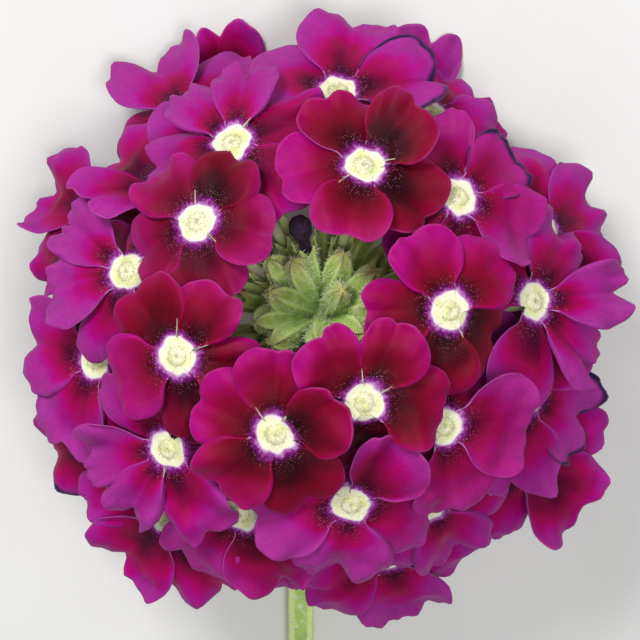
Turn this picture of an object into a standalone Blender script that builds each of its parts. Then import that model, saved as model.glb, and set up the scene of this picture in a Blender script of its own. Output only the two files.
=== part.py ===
"""A cut verbena flower head lying on its stem and its front petals.

Metres, +Z up, resting on z = 0, with the origin under the middle of its bounding box.
The bare stem runs out along +Y. The flower's face looks up and towards -Y.
"""
import math

import bmesh
import bpy
import numpy as np
from mathutils import Matrix, Vector
from mathutils.bvhtree import BVHTree

MM = 0.001

# Driving dimensions, in millimetres and degrees
HEAD_RADIUS = 27.0
HEAD_HEIGHT = 16.8
FACE_ELEVATION = 62.0
SEEN_ELEVATION = 69.5
TILT_SHARE = 0.70
TILT_SHARE_RIM = 0.56
PETAL_THICKNESS = 0.6
TUBE_RADIUS = 0.72
RING_RADIUS = 1.15
CALYX_LENGTH = 11.5
CALYX_RADIUS = 1.25
SOCKET_RADIUS = 1.02
SOCKET_DEPTH = 1.5
GAP = 0.3
RACHIS_TOP = 7.5
RACHIS_RADIUS = 2.0
STEM_RADIUS = 1.75
STEM_END_Y = 78.0
STEM_BEND_RADIUS = 22.0

# One row for each floret: azimuth and polar angle as seen from the front (degrees, counted
# from the right and from the line of sight), limb distance from the head's centre (mm),
# petal length (mm), the petals' directions, their lifts and curls, age 0 young to 1 old.
# One direction alone stands for five evenly spaced petals.
FLORETS = (
    ("floret_01", 297, 20, 27.8, 9.2, (66, 125, 203, 272, 357), (10, 14, -20, -32, 0),
     (-14, -12, -50, -50, -34), 0.10),
    ("floret_02", 248, 28, 27.4, 9.4, (35, 88, 158, 222, 305), (-20, 6, 4, 2, -4),
     (-16, -18, -22, -24, -30), 0.15),
    ("floret_03", 4, 29, 27.4, 9.2, (45, 120, 180, 258, 338), (0, 6, 6, -10, -24),
     (-20, -18, -16, -35, -30), 0.10),
    ("floret_04", 194, 35, 27.2, 9.0, (48, 124, 203, 280, 350), (4, 6, 4, 0, 2),
     (-18, -20, -22, -24, -24), 0.20),
    ("floret_05", 75, 38, 27.2, 9.2, (45, 118, 185, 255, 325), (34, 4, 2, 8, 2),
     (-10, -20, -20, -20, -24), 0.15),
    ("floret_06", 142, 38, 27.0, 8.8, (62, 127, 200, 280, 350), (4, 2, 0, 2, 2),
     (-22, -22, -24, -20, -20), 0.25),
    ("floret_07", 319, 39, 27.0, 10.4, (80, 150, 220, 274, 2), (-6, -20, -10, 2, 4),
     (-18, -10, -10, -24, -24), 0.45),
    ("floret_08", 42, 46, 27.0, 10.2, (42, 105, 188, 268, 337), (4, 4, 4, -14, 2),
     (-24, -24, 16, -20, -26), 0.40),
    ("floret_09", 279, 47, 27.0, 10.8, (55, 120, 187, 262, 340), (-16, -16, 2, 2, 0),
     (-10, -10, -24, -26, -24), 0.50),
    ("floret_10", 117, 51, 27.2, 11.0, (25, 80, 132, 184, 308), (20, 6, 4, 2, -6),
     (-10, -22, -24, -20, -24), 0.60),
    ("floret_11", 166, 52, 27.2, 10.8, (355, 82, 140, 194, 252), (-10, 6, 10, 8, 4),
     (-24, -22, -22, -20, -22), 0.70),
    ("floret_12", 220, 52, 27.2, 11.2, (130, 186, 236, 288, 352), (4, 8, 8, 2, -12),
     (-22, -22, -20, -22, -20), 0.60),
    ("floret_13", 5, 57, 27.2, 11.6, (4, 58, 140, 262, 315), (18, 4, -16, -6, 2),
     (-14, -24, -20, -20, -26), 0.65),
    ("floret_14", 247, 60, 26.2, 11.0, 300, (2, -8, -8, -4, 2), (-24, -20, -20, -20, -24), 0.45),
    ("floret_15", 139, 64, 25.0, 11.2, 150, (2, 2, -8, -8, 2), (-24, -22, -20, -20, -24), 0.75),
    ("floret_16", 86, 63, 27.8, 11.8, 78, (8, 10, -8, -10, 8), (-22, -20, -20, -20, -22), 0.65),
    ("floret_17", 339, 66, 26.2, 11.2, 340, (2, 2, -8, -8, 2), (-24, -24, -20, -20, -24), 0.80),
    ("floret_18", 300, 65, 25.6, 10.8, 300, (-4, -4, -8, -8, -4), (-22, -24, -20, -20, -24), 0.70),
    ("floret_19", 63, 65, 27.8, 9.8, 66, (-8, -10, -8, -8, -10), (-22, -22, -20, -20, -22), 0.70),
    ("floret_20", 190, 66, 27.4, 11.8, 165, (6, 6, -2, -8, -6), (-22, -22, -22, -20, -20), 0.80),
    ("floret_21", 325, 80, 27.6, 11.8, 318, (18, 8, -8, -8, 8), (-16, -24, -20, -20, -24), 0.85),
    ("floret_22", 22, 76, 27.2, 11.6, 30, (4, 2, -8, -8, 2), (-22, -24, -20, -20, -24), 0.80),
    ("floret_23", 124, 80, 28.2, 11.6, 122, (8, 6, -6, -8, 6), (-22, -20, -20, -20, -20), 0.85),
    ("floret_24", 232, 82, 28.4, 11.8, 225, (6, 4, -8, -8, 4), (-22, -24, -20, -20, -24), 0.80),
    ("floret_25", 285, 84, 27.6, 11.4, 290, (6, 4, -8, -8, 4), (-22, -24, -20, -20, -24), 0.80),
    ("floret_26", 155, 86, 28.2, 11.4, 150, (8, 6, -6, -8, 6), (-22, -20, -20, -20, -20), 0.90),
    ("floret_27", 208, 86, 28.0, 11.2, 200, (6, 4, -8, -8, 4), (-22, -24, -20, -20, -24), 0.90),
    ("floret_28", 111, 97, 26.6, 11.4, 106, (6, 4, -8, -8, 4), (-22, -24, -20, -20, -24), 0.90),
    ("floret_29", 68, 97, 26.6, 11.4, 72, (6, 4, -8, -8, 4), (-22, -24, -20, -20, -24), 0.90),
    ("floret_30", 262, 86, 26.0, 9.6, 262, (-4, -6, -8, -8, -4), (-22, -24, -20, -20, -24), 0.80),
)

# Young closed calyces in the middle: azimuth, polar angle as seen, length in mm
YOUNG = (
    (119, 32, 9.4), (50, 17, 9.0), (70, 36, 9.0), (38, 38, 9.0), (158, 30, 9.2),
    (134, 44, 9.0), (186, 38, 9.0), (212, 32, 9.0), (262, 17, 8.2), (336, 26, 8.4),
    (8, 30, 8.8),
)
BUD = (104, 42, 9.2)

sin, cos, rad = math.sin, math.cos, math.radians
SEEN = rad(SEEN_ELEVATION)
RIGHT = Vector((-1.0, 0.0, 0.0))
UP = Vector((0.0, -sin(SEEN), -cos(SEEN)))
TOWARD = Vector((0.0, -cos(SEEN), sin(SEEN)))
AXIS = Vector((0.0, -cos(rad(FACE_ELEVATION)), sin(rad(FACE_ELEVATION))))
CENTRE = Vector((0.0, 0.0, HEAD_HEIGHT))


def clear_scene():
    for thing in list(bpy.data.objects):
        bpy.data.objects.remove(thing, do_unlink=True)


def material(name, colour, roughness):
    made = bpy.data.materials.new(name)
    made.use_nodes = True
    shader = made.node_tree.nodes["Principled BSDF"]
    shader.inputs["Base Color"].default_value = (*colour, 1.0)
    shader.inputs["Roughness"].default_value = roughness
    shader.inputs["Metallic"].default_value = 0.0
    return made


def seen_direction(azimuth, polar):
    """The direction at a polar angle from the line of sight, at an azimuth from the right."""
    a, p = rad(azimuth), rad(polar)
    return (RIGHT * (cos(a) * sin(p)) + UP * (sin(a) * sin(p)) + TOWARD * cos(p)).normalized()


def turned(vector, about, degrees):
    return Matrix.Rotation(rad(degrees), 3, about) @ vector


def limb_frame(azimuth, polar, distance, spin):
    """Limb centre, outward normal and the five petals' directions of a floret."""
    outward = seen_direction(azimuth, polar)
    angle = math.degrees(AXIS.angle(outward))
    about = AXIS.cross(outward).normalized()
    share = TILT_SHARE + (TILT_SHARE_RIM - TILT_SHARE) * min(max((polar - 40) / 35, 0.0), 1.0)
    normal = turned(AXIS, about, angle * share)
    alongs = []
    for degrees in (spin if isinstance(spin, tuple) else (spin,)):
        flat = RIGHT * cos(rad(degrees)) + UP * sin(rad(degrees))
        facing = normal.dot(TOWARD)
        if facing > 0.45:
            along = flat - TOWARD * (flat.dot(normal) / facing)
        else:
            along = flat - normal * flat.dot(normal)
        alongs.append(along.normalized())
    if len(alongs) == 1:
        alongs = [turned(alongs[0], normal, 72.0 * k) for k in range(5)]
    return CENTRE + outward * distance, normal, alongs, angle


def root_point(angle, outward):
    """Where a calyx leaves the rachis: the outer ones lower down."""
    along = RACHIS_TOP - 11.0 * min(angle, 100.0) / 90.0
    side = outward - AXIS * outward.dot(AXIS)
    if side.length > 1e-6:
        side.normalize()
    return CENTRE + AXIS * along + side * 0.7


# Rows of a petal: distance along it and half width, as shares of its length
PETAL_ROWS = ((0.30, 0.19), (0.52, 0.36), (0.75, 0.49))
SHOULDER = (0.92, 0.42)
TOP = (1.0, 0.20)
NOTCH = 0.885


def petal_points(centre, normal, along, length, lift, curl, half, grow=0.0, width=1.0,
                 room=(36.0, 36.0)):
    """Top and bottom points of one petal, row by row, each row left, middle, right.

    The petal leaves the ring at its lift and bends by its curl towards the tip. Where it
    would pass through the surface below, it turns and lies flat on it. The room is the
    half angle to the next petal on each side, which the petal keeps within.
    """
    side = normal.cross(along)
    here = centre + along * RING_RADIUS
    before = RING_RADIUS / length
    tops, bottoms = [], []
    flat = False

    def frame(share):
        angle = lift + curl * share * share
        ahead = along * cos(rad(angle)) + normal * sin(rad(angle))
        return ahead, side.cross(ahead) * -1.0

    def add(origin, across, up, height):
        point = origin + side * across + up * height
        top, bottom = point + up * half, point - up * half
        low = min(top.z, bottom.z)
        if low < -grow:
            top.z -= low + grow
            bottom.z -= low + grow
        tops.append(top)
        bottoms.append(bottom)

    def step(share):
        nonlocal here, before, flat
        ahead, up = frame((share + before) / 2)
        if up.dot(normal) < 0:
            up = -up
        move = ahead * ((share - before) * length)
        if (here + move).z < half + 0.05:
            level = Vector((ahead.x, ahead.y, 0.0))
            if level.length < 0.3:
                level = Vector((normal.x, normal.y, 0.0))
            level.normalize()
            drop = max(0.0, here.z - half)
            run = math.sqrt(max(0.0, move.length ** 2 - drop ** 2))
            move = level * run - Vector((0, 0, drop))
            flat = True
            up = Vector((0, 0, 1.0 if up.z > -0.3 else -1.0))
        here = here + move
        before = share
        return up

    def limit(wide, left, share):
        away = here - centre
        inward = max((away - normal * away.dot(normal)).length, 0.8 * RING_RADIUS)
        return min(wide, inward * math.tan(rad(min(room[0 if left else 1], 60.0))) * 0.92 - 0.06)

    for share, wide in PETAL_ROWS:
        up = step(share)
        wide = wide * length * width
        fold = 0.0 if flat else 0.12 * wide
        add(here, limit(wide, True, share) + grow, up, fold)
        add(here, 0.0, up, 0.0)
        add(here, -limit(wide, False, share) - grow, up, fold)
    base = here.copy()
    ahead_from = before
    up = step(NOTCH)
    fold = 0.0 if flat else 0.05 * length
    tip_origin = here.copy()
    forward = (tip_origin - base).normalized()
    shoulder_at = base + forward * ((SHOULDER[0] - ahead_from) * length + grow)
    top_at = base + forward * ((TOP[0] - ahead_from) * length + grow)
    shoulder = SHOULDER[1] * length * width
    top_wide = TOP[1] * length * width
    add(shoulder_at, limit(shoulder, True, 0.9) + grow, up, fold)
    add(top_at, limit(top_wide, True, 0.9), up, fold * 0.5)
    add(tip_origin, 0.0, up, 0.0)
    add(top_at, -limit(top_wide, False, 0.9), up, fold * 0.5)
    add(shoulder_at, -limit(shoulder, False, 0.9) - grow, up, fold)
    return tops, bottoms


# Triangles over a petal's points past the ring (rows 0 to 2 are 0..8, the tip is 9..13)
ROW_QUADS = ((0, 1, 4, 3), (1, 2, 5, 4), (3, 4, 7, 6), (4, 5, 8, 7))
TIP_TRIANGLES = ((6, 10, 9), (6, 7, 10), (7, 11, 10), (7, 12, 11), (7, 8, 12), (8, 13, 12))
OUTLINE = (0, 3, 6, 9, 10, 11, 12, 13, 8, 5, 2)


def petal_faces():
    """Triangles over the petal past its first row, as index triples, outward up."""
    faces = []
    for a, b, c, d in ROW_QUADS:
        faces.append((a, c, b))
        faces.append((a, d, c))
    for a, b, c in TIP_TRIANGLES:
        faces.append((a, b, c))
    return faces


FACES = petal_faces()


def petal_solid(tops, bottoms, centre=None, normal=None, along=None):
    """The petal as a closed shell, for measuring clearance, with its claw where one is given."""
    n = len(tops)
    verts = list(tops) + list(bottoms)
    faces = [f for f in FACES] + [(c + n, b + n, a + n) for a, b, c in FACES]
    if centre is not None:
        start = 2 * n
        side = normal.cross(along)
        for height in (0.6, -0.6):
            verts += [centre + along * RING_RADIUS * 0.8 + side * across + normal * height
                      for across in (1.0, -1.0)]
        faces += [(start, start + 1, 2, 0), (start + 2, start + 3, n + 2, n)]
    loop = list(OUTLINE) + [1]
    for i, a in enumerate(loop):
        b = loop[(i + 1) % len(loop)]
        faces.append((a, a + n, b + n))
        faces.append((a, b + n, b))
    return verts, faces


def tree(parts):
    verts, faces = [], []
    for v, f in parts:
        start = len(verts)
        verts.extend(v)
        faces.extend([tuple(i + start for i in face) for face in f])
    if not faces:
        return None
    return BVHTree.FromPolygons(verts, faces, all_triangles=False)


def ring_points(at, ahead, radius, count, start=None, turn=0.0):
    """Points of a ring around a direction."""
    if start is None:
        start = Vector((1.0, 0.0, 0.0)) if abs(ahead.x) < 0.8 else Vector((0.0, 1.0, 0.0))
    one = (start - ahead * start.dot(ahead)).normalized()
    two = ahead.cross(one)
    out = []
    for k in range(count):
        a = 2 * math.pi * (k + turn) / count
        out.append(at + one * (cos(a) * radius) + two * (sin(a) * radius))
    return out


def bezier(a, b, c, t):
    return a * ((1 - t) ** 2) + b * (2 * t * (1 - t)) + c * (t * t)


class Shell:
    """Collects points and faces of one closed body, in millimetres."""

    def __init__(self):
        self.verts, self.faces = [], []

    def add(self, points):
        start = len(self.verts)
        self.verts.extend([Vector(p) for p in points])
        return list(range(start, start + len(points)))

    def band(self, low, high):
        n = len(low)
        for i in range(n):
            j = (i + 1) % n
            self.faces.append((low[i], low[j], high[j]))
            self.faces.append((low[i], high[j], high[i]))

    def cap(self, ring, flip=False):
        for i in range(1, len(ring) - 1):
            face = (ring[0], ring[i], ring[i + 1])
            self.faces.append(face[::-1] if flip else face)

    def fan(self, ring, tip):
        for i in range(len(ring)):
            self.faces.append((ring[i], ring[(i + 1) % len(ring)], tip))

    def made(self, name, look):
        mesh = bpy.data.meshes.new(name)
        mesh.from_pydata([v * MM for v in self.verts], [], self.faces)
        mesh.validate()
        work = bmesh.new()
        work.from_mesh(mesh)
        bmesh.ops.recalc_face_normals(work, faces=work.faces)
        work.to_mesh(mesh)
        work.free()
        mesh.materials.append(look)
        thing = bpy.data.objects.new(name, mesh)
        bpy.context.scene.collection.objects.link(thing)
        mesh.shade_smooth()
        mesh.set_sharp_from_angle(angle=rad(40))
        return thing


def tube_line(root, tip, centre, normal):
    """The corolla tube's path: out of its calyx, then round to the limb's own direction."""
    reach = (centre - tip).length
    bend = centre - normal * (reach * 0.5)
    ahead = (tip - root).normalized()
    start = tip - ahead * (SOCKET_DEPTH - GAP)
    end = centre - normal * 1.5
    return [bezier(start, bend, end, t) for t in (0.0, 0.33, 0.66, 1.0)]


def calyx_shell(root, tip, open_top=True, ribs=5):
    """A ribbed calyx, with five teeth: a cup for the tube, or closed over its bud."""
    shell = Shell()
    ahead = (tip - root).normalized()
    length = (tip - root).length

    def ring(share, radius, rib, count=10):
        points = []
        base = ring_points(root + ahead * (share * length), ahead, 1.0, count)
        middle = root + ahead * (share * length)
        for k, p in enumerate(base):
            out = p - middle
            points.append(middle + out * (radius * (1.0 if k % 2 == 0 else rib)))
        return points

    if open_top:
        rings = [shell.add(ring_points(root, ahead, 0.7, 5)),
                 shell.add(ring_points(root + ahead * (length - SOCKET_DEPTH - 0.8), ahead,
                                       CALYX_RADIUS + 0.12, 5))]
        shell.cap(rings[0], flip=True)
        shell.band(rings[0], rings[1])
        rim = []
        inner = []
        outer_tip = ring_points(root + ahead * length, ahead, CALYX_RADIUS + 0.2, 5)
        outer_low = ring_points(root + ahead * (length - 0.9), ahead, CALYX_RADIUS + 0.1, 5, turn=0.5)
        inner_tip = ring_points(root + ahead * (length - 0.15), ahead, SOCKET_RADIUS + 0.12, 5)
        inner_low = ring_points(root + ahead * (length - 1.0), ahead, SOCKET_RADIUS, 5, turn=0.5)
        for k in range(5):
            rim.extend([outer_tip[k], outer_low[k]])
            inner.extend([inner_tip[k], inner_low[k]])
        rim = shell.add(rim)
        inner = shell.add(inner)
        low = rings[1]
        for k in range(5):
            j = (k + 1) % 5
            shell.faces.append((low[k], rim[2 * k + 1], rim[2 * k]))
            shell.faces.append((low[k], low[j], rim[2 * k + 1]))
            shell.faces.append((low[j], rim[2 * j], rim[2 * k + 1]))
        shell.band(rim, inner)
        floor = shell.add(ring_points(root + ahead * (length - SOCKET_DEPTH), ahead, SOCKET_RADIUS, 5))
        for k in range(5):
            j = (k + 1) % 5
            shell.faces.append((inner[2 * k], inner[2 * k + 1], floor[k]))
            shell.faces.append((inner[2 * k + 1], floor[j], floor[k]))
            shell.faces.append((inner[2 * k + 1], inner[2 * j], floor[j]))
        shell.cap(floor)
    else:
        rings = [shell.add(ring(0.0, 0.6, 1.0)), shell.add(ring(0.5, 1.38, 0.82)),
                 shell.add(ring(0.88, 1.46, 0.82))]
        shell.cap(rings[0], flip=True)
        for low, high in zip(rings, rings[1:]):
            shell.band(low, high)
        end = shell.add([root + ahead * length])[0]
        shell.fan(rings[-1], end)
    return shell


def corolla_shell(row, others, self_made):
    """One floret: tube, throat and five petals, each bent clear of what is there already."""
    name, azimuth, polar, distance, length, spin, lifts, curls, age = row
    centre, normal, alongs, angle = limb_frame(azimuth, polar, distance, spin)
    half = PETAL_THICKNESS / 2
    shell = Shell()
    made, chosen, rooms = [], [], []

    def half_room(k):
        after = math.degrees(alongs[k].angle(alongs[(k + 1) % 5])) / 2
        before = math.degrees(alongs[k].angle(alongs[(k - 1) % 5])) / 2
        return after, before

    for k in range(5):
        best = None
        planned = alongs[k]
        own = tree(made)
        for cost, offset, swing, width, shorter in OPTIONS:
            lift = lifts[k] + offset
            if lift < -60 or lift > 72:
                continue
            along = turned(planned, normal, swing)
            alongs[k] = along
            room = half_room(k)
            reach = length * shorter
            tops, bottoms = petal_points(centre, normal, along, reach, lift, curls[k],
                                         half + 0.33, 0.33, width, room)
            trial = BVHTree.FromPolygons(*petal_solid(tops, bottoms, centre, normal, along))
            if others is not None and trial.overlap(others):
                continue
            if own is not None:
                tops, bottoms = petal_points(centre, normal, along, reach, lift, curls[k],
                                             half + 0.1, 0.1, width, room)
                close = BVHTree.FromPolygons(*petal_solid(tops, bottoms))
                if close.overlap(own):
                    continue
            best = (lift, swing, width, shorter)
            break
        if best is None:
            best = (lifts[k], 0, 0.64, 0.8)
            print("no clear lift:", name, k)
        lift, swing, width, shorter = best
        along = turned(planned, normal, swing)
        alongs[k] = along
        tops, bottoms = petal_points(centre, normal, along, length * shorter, lift, curls[k],
                                     half, 0.0, width, half_room(k))
        made.append(petal_solid(tops, bottoms))
        chosen.append((along, length * shorter, lift, curls[k], width))
        rooms.append(half_room(k))
        if abs(lift - lifts[k]) > 25 or width < 0.9:
            print("moved", name, k, "lift", lifts[k], "->", lift, "width", width, shorter)
    for k in range(5):
        along, reach, lift, curl, width = chosen[k]
        now = half_room(k)
        room = (min(now[0], rooms[k][0]), min(now[1], rooms[k][1]))
        chosen[k] = petal_points(centre, normal, along, reach, lift, curl, half, 0.0, width, room)
    # The ring: a middle and a corner point for each petal, on both faces
    upper, lower = [], []
    for k in range(5):
        between = (alongs[k] + alongs[(k + 1) % 5]).normalized()
        for way, radius in ((alongs[k], RING_RADIUS), (between, RING_RADIUS * 1.12)):
            upper.append(centre + way * radius + normal * half)
            lower.append(centre + way * radius - normal * half)
    top_ring, low_ring = shell.add(upper), shell.add(lower)
    throat = shell.add([centre - normal * 0.35])[0]
    shell.fan(top_ring, throat)
    for k in range(5):
        tops, bottoms = chosen[k]
        t, b = shell.add(tops), shell.add(bottoms)
        before, middle, after = (2 * k - 1) % 10, 2 * k, 2 * k + 1
        for ring, pts, flip in ((top_ring, t, False), (low_ring, b, True)):
            strip = [(ring[after], ring[middle], pts[0]), (ring[middle], pts[1], pts[0]),
                     (ring[middle], pts[2], pts[1]), (ring[middle], ring[before], pts[2])]
            strip += [tuple(pts[i] for i in f) for f in FACES]
            shell.faces.extend([f[::-1] if flip else f for f in strip])
        edge_top = [top_ring[after]] + [t[i] for i in OUTLINE] + [top_ring[before]]
        edge_low = [low_ring[after]] + [b[i] for i in OUTLINE] + [low_ring[before]]
        for i in range(len(edge_top) - 1):
            a, c = edge_top[i], edge_top[i + 1]
            d, e = edge_low[i], edge_low[i + 1]
            shell.faces.append((a, d, e))
            shell.faces.append((a, e, c))
    # The tube, five sided, joined to the underside of the ring
    line = PATHS[name][1]
    previous = None
    for i, at in enumerate(reversed(line)):
        k = len(line) - 1 - i
        near = line[max(k - 1, 0)]
        far = line[min(k + 1, len(line) - 1)]
        ahead = (far - near).normalized() if i else normal
        wide = TUBE_RADIUS * (1.0 if k else 0.85)
        ring = shell.add(ring_points(at, ahead, wide, 5, start=alongs[0]))
        if previous is None:
            for m in range(5):
                n = (m + 1) % 5
                shell.faces.append((ring[m], low_ring[2 * m + 1], low_ring[2 * m]))
                shell.faces.append((ring[m], ring[n], low_ring[2 * m + 1]))
                shell.faces.append((ring[n], low_ring[2 * n], low_ring[2 * m + 1]))
        else:
            shell.band(ring, previous)
        previous = ring
    shell.cap(previous, flip=True)
    return shell, made


def petal_options():
    """Ways to move a petal clear of its neighbours, the smallest change first."""
    out = []
    for step in range(-24, 25):
        lift = 3 * step
        for swing in (-12, -6, 0, 6, 12):
            for width in (1.0, 0.88, 0.76, 0.64):
                for shorter in (1.0, 0.9, 0.8):
                    cost = (abs(lift) * (0.8 if lift < 0 else 1.5) + abs(swing) * 0.7
                            + (1 - width) * 90 + (1 - shorter) * 130)
                    out.append((cost, lift, swing, width, shorter))
    out.sort()
    return out


OPTIONS = petal_options()


def paths_of():
    """Each floret's calyx root and tip, and its tube's line."""
    out = {}
    for row in FLORETS:
        name, azimuth, polar, distance, length, spin = row[:6]
        centre, normal, alongs, angle = limb_frame(azimuth, polar, distance, spin)
        outward = seen_direction(azimuth, polar)
        root = root_point(angle, outward)
        ahead = (centre - normal * 4.0 - root).normalized()
        tip = root + ahead * CALYX_LENGTH
        out[name] = ((root, tip), tube_line(root, tip, centre, normal))
    return out


PATHS = paths_of()


def young_lines():
    out = []
    for azimuth, polar, length in YOUNG:
        way = seen_direction(azimuth, polar)
        root = CENTRE + AXIS * (RACHIS_TOP - 1.4) + (way - AXIS * way.dot(AXIS)) * 1.5
        out.append((root, root + way * (length + 1.4)))
    return out


def bud_lines():
    way = seen_direction(BUD[0], BUD[1])
    root = CENTRE + AXIS * (RACHIS_TOP - 1.4) + (way - AXIS * way.dot(AXIS)) * 1.5
    return root, root + way * (BUD[2] + 1.4)


def tube_shell_between(line, radii, sides, turn=0.0, start=None):
    """A solid tube along a line of points, closed at both ends."""
    shell = Shell()
    rings = []
    for i, at in enumerate(line):
        ahead = (line[min(i + 1, len(line) - 1)] - line[max(i - 1, 0)]).normalized()
        rings.append(shell.add(ring_points(at, ahead, radii[i], sides, start=start, turn=turn)))
    shell.cap(rings[0], flip=True)
    for low, high in zip(rings, rings[1:]):
        shell.band(low, high)
    shell.cap(rings[-1])
    return shell


def drift(y):
    """How far the stem has wandered sideways at a distance along the surface."""
    share = min(max((y - 4.0) / 40.0, 0.0), 1.0)
    return 2.6 * share * share * (3 - 2 * share)


def stem_line():
    """From the rachis top down the head's axis, round the bend and along the surface."""
    apothem = STEM_RADIUS * cos(math.pi / 8)
    points = [CENTRE + AXIS * along for along in (RACHIS_TOP, RACHIS_TOP - 0.6, RACHIS_TOP - 2.5,
                                                  2.0, -2.5)]
    radii = [1.1, 1.7, RACHIS_RADIUS, RACHIS_RADIUS, 1.8]
    down = -AXIS
    bend_drop = STEM_BEND_RADIUS * (1 - cos(rad(FACE_ELEVATION)))
    straight = (CENTRE.z - apothem - bend_drop) / sin(rad(FACE_ELEVATION))
    begin = CENTRE + down * straight
    pivot = begin + Vector((0, sin(rad(FACE_ELEVATION)), cos(rad(FACE_ELEVATION)))) * STEM_BEND_RADIUS
    for k in range(0, 7):
        a = FACE_ELEVATION * (1 - k / 6)
        at = pivot - Vector((0, sin(rad(a)), cos(rad(a)))) * STEM_BEND_RADIUS
        at.x = drift(at.y)
        points.append(at)
        radii.append(STEM_RADIUS)
    last = points[-1]
    for share in (0.25, 0.5, 0.75, 1.0):
        y = last.y + (STEM_END_Y - last.y) * share
        points.append(Vector((drift(y), y, apothem)))
        radii.append(STEM_RADIUS)
    return points, radii


def stem_object():
    """Stem, rachis, calyces and closed calyces, joined into one body."""
    look = material("green", (0.30, 0.42, 0.12), 0.6)
    points, radii = stem_line()
    stem = tube_shell_between(points, radii, 8, turn=0.5, start=Vector((1, 0, 0))).made(
        "stem_and_calyces", look)
    others = bpy.data.collections.new("joined_calyces")
    bpy.context.scene.collection.children.link(others)
    shells = [calyx_shell(*PATHS[row[0]][0]) for row in FLORETS]
    shells += [calyx_shell(root, tip, open_top=False) for root, tip in young_lines()]
    shells.append(calyx_shell(*bud_lines()))
    for number, shell in enumerate(shells):
        thing = shell.made("joined_%02d" % number, look)
        bpy.context.scene.collection.objects.unlink(thing)
        others.objects.link(thing)
    union = stem.modifiers.new("join", "BOOLEAN")
    union.operation = "UNION"
    union.operand_type = "COLLECTION"
    union.collection = others
    union.solver = "EXACT"
    bpy.context.view_layer.update()
    seen = stem.evaluated_get(bpy.context.evaluated_depsgraph_get())
    joined = bpy.data.meshes.new_from_object(seen)
    stem.modifiers.clear()
    old = stem.data
    stem.data = joined
    bpy.data.meshes.remove(old)
    joined.name = "stem_and_calyces"
    for thing in list(others.objects):
        bpy.data.objects.remove(thing, do_unlink=True)
    bpy.data.collections.remove(others)
    work = bmesh.new()
    work.from_mesh(joined)
    bmesh.ops.dissolve_degenerate(work, edges=work.edges, dist=0.000002)
    bmesh.ops.triangulate(work, faces=work.faces)
    work.to_mesh(joined)
    work.free()
    return stem


def bud_shell():
    """The closed dark corolla: a short tube and a ball of folded petals."""
    root, tip = bud_lines()
    ahead = (tip - root).normalized()
    start = tip - ahead * (SOCKET_DEPTH - GAP)
    line = [start, tip + ahead * 0.6, tip + ahead * 1.4, tip + ahead * 2.6, tip + ahead * 3.7]
    return tube_shell_between(line, [0.62, 0.7, 1.15, 1.25, 0.6], 8)


def obstacle(shell):
    return (shell.verts, shell.faces)


def build():
    clear_scene()
    stem = stem_object()
    tubes = {}
    for row in FLORETS:
        (root, tip), line = PATHS[row[0]]
        wide = [TUBE_RADIUS] * len(line)
        tube = tube_shell_between(line, wide, 5)
        cup = tube_shell_between([root + (tip - root) * 0.5, tip], [1.1, CALYX_RADIUS + 0.2], 5)
        centre, normal = limb_frame(*row[1:4], 0)[:2]
        eye = tube_shell_between([centre - normal * 1.5, centre - normal * 0.3,
                                  centre + normal * 0.3], [0.8, 1.4, 1.4], 8)
        tubes[row[0]] = [obstacle(tube), obstacle(cup), obstacle(eye)]
    fixed = [obstacle(bud_shell())]
    fixed += [obstacle(calyx_shell(root, tip, open_top=False)) for root, tip in young_lines()]
    placed = []
    look_young = Vector((0.22, 0.004, 0.045))
    look_old = Vector((0.40, 0.015, 0.24))
    for row in FLORETS:
        others = tree(fixed + placed + [t for n, ts in tubes.items() if n != row[0] for t in ts])
        shell, petals = corolla_shell(row, others, None)
        age = row[8]
        colour = look_young.lerp(look_old, age)
        shell.made(row[0], material(row[0] + "_petals", tuple(colour), 0.55))
        placed.append(obstacle(shell))
    bud_shell().made("bud_01", material("bud_dark", (0.02, 0.004, 0.02), 0.5))
    things = [o for o in bpy.data.objects if o.type == "MESH"]
    low = np.array([1e9, 1e9, 1e9])
    high = -low
    for thing in things:
        for vertex in thing.data.vertices:
            low = np.minimum(low, vertex.co)
            high = np.maximum(high, vertex.co)
    middle = Vector(((low[0] + high[0]) / 2, (low[1] + high[1]) / 2, 0.0))
    for thing in things:
        thing.data.transform(Matrix.Translation(-middle))
    print("box mm", np.round((high - low) * 1000, 2), "lowest", round(low[2] * 1000, 3))
    print("centre of the head", [round(c, 3) for c in (CENTRE - middle / MM)])
    return CENTRE - middle / MM


HEAD_AT = build()
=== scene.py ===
"""A cut verbena flower head on its bent stem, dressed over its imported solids.

Every floret gets its five thin petals, white eye, throat hairs and tube, and the green parts
get ribbed hairy calyces, the closed bud and the angled stem. Lengths in the tables are in
millimetres and angles in degrees, measured from the middle of the head.
"""

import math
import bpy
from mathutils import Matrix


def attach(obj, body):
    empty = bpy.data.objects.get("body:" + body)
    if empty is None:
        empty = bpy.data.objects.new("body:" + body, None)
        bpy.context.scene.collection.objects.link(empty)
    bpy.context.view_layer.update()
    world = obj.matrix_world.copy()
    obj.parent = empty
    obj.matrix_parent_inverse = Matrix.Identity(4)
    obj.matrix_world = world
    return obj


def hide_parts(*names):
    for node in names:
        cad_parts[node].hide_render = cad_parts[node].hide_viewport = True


bl_info = {
    "name": "Verbena flower head",
    "version": (1, 0, 0),
    "blender": (4, 5, 0),
    "location": "3D View > Sidebar > Verbena",
    "description": "Petals, calyces, stem and hairs of a cut verbena flower head",
    "category": "Object",
}

import bpy
import numpy as np
from mathutils import Matrix, Vector
from mathutils.bvhtree import BVHTree
from mathutils.kdtree import KDTree

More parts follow.
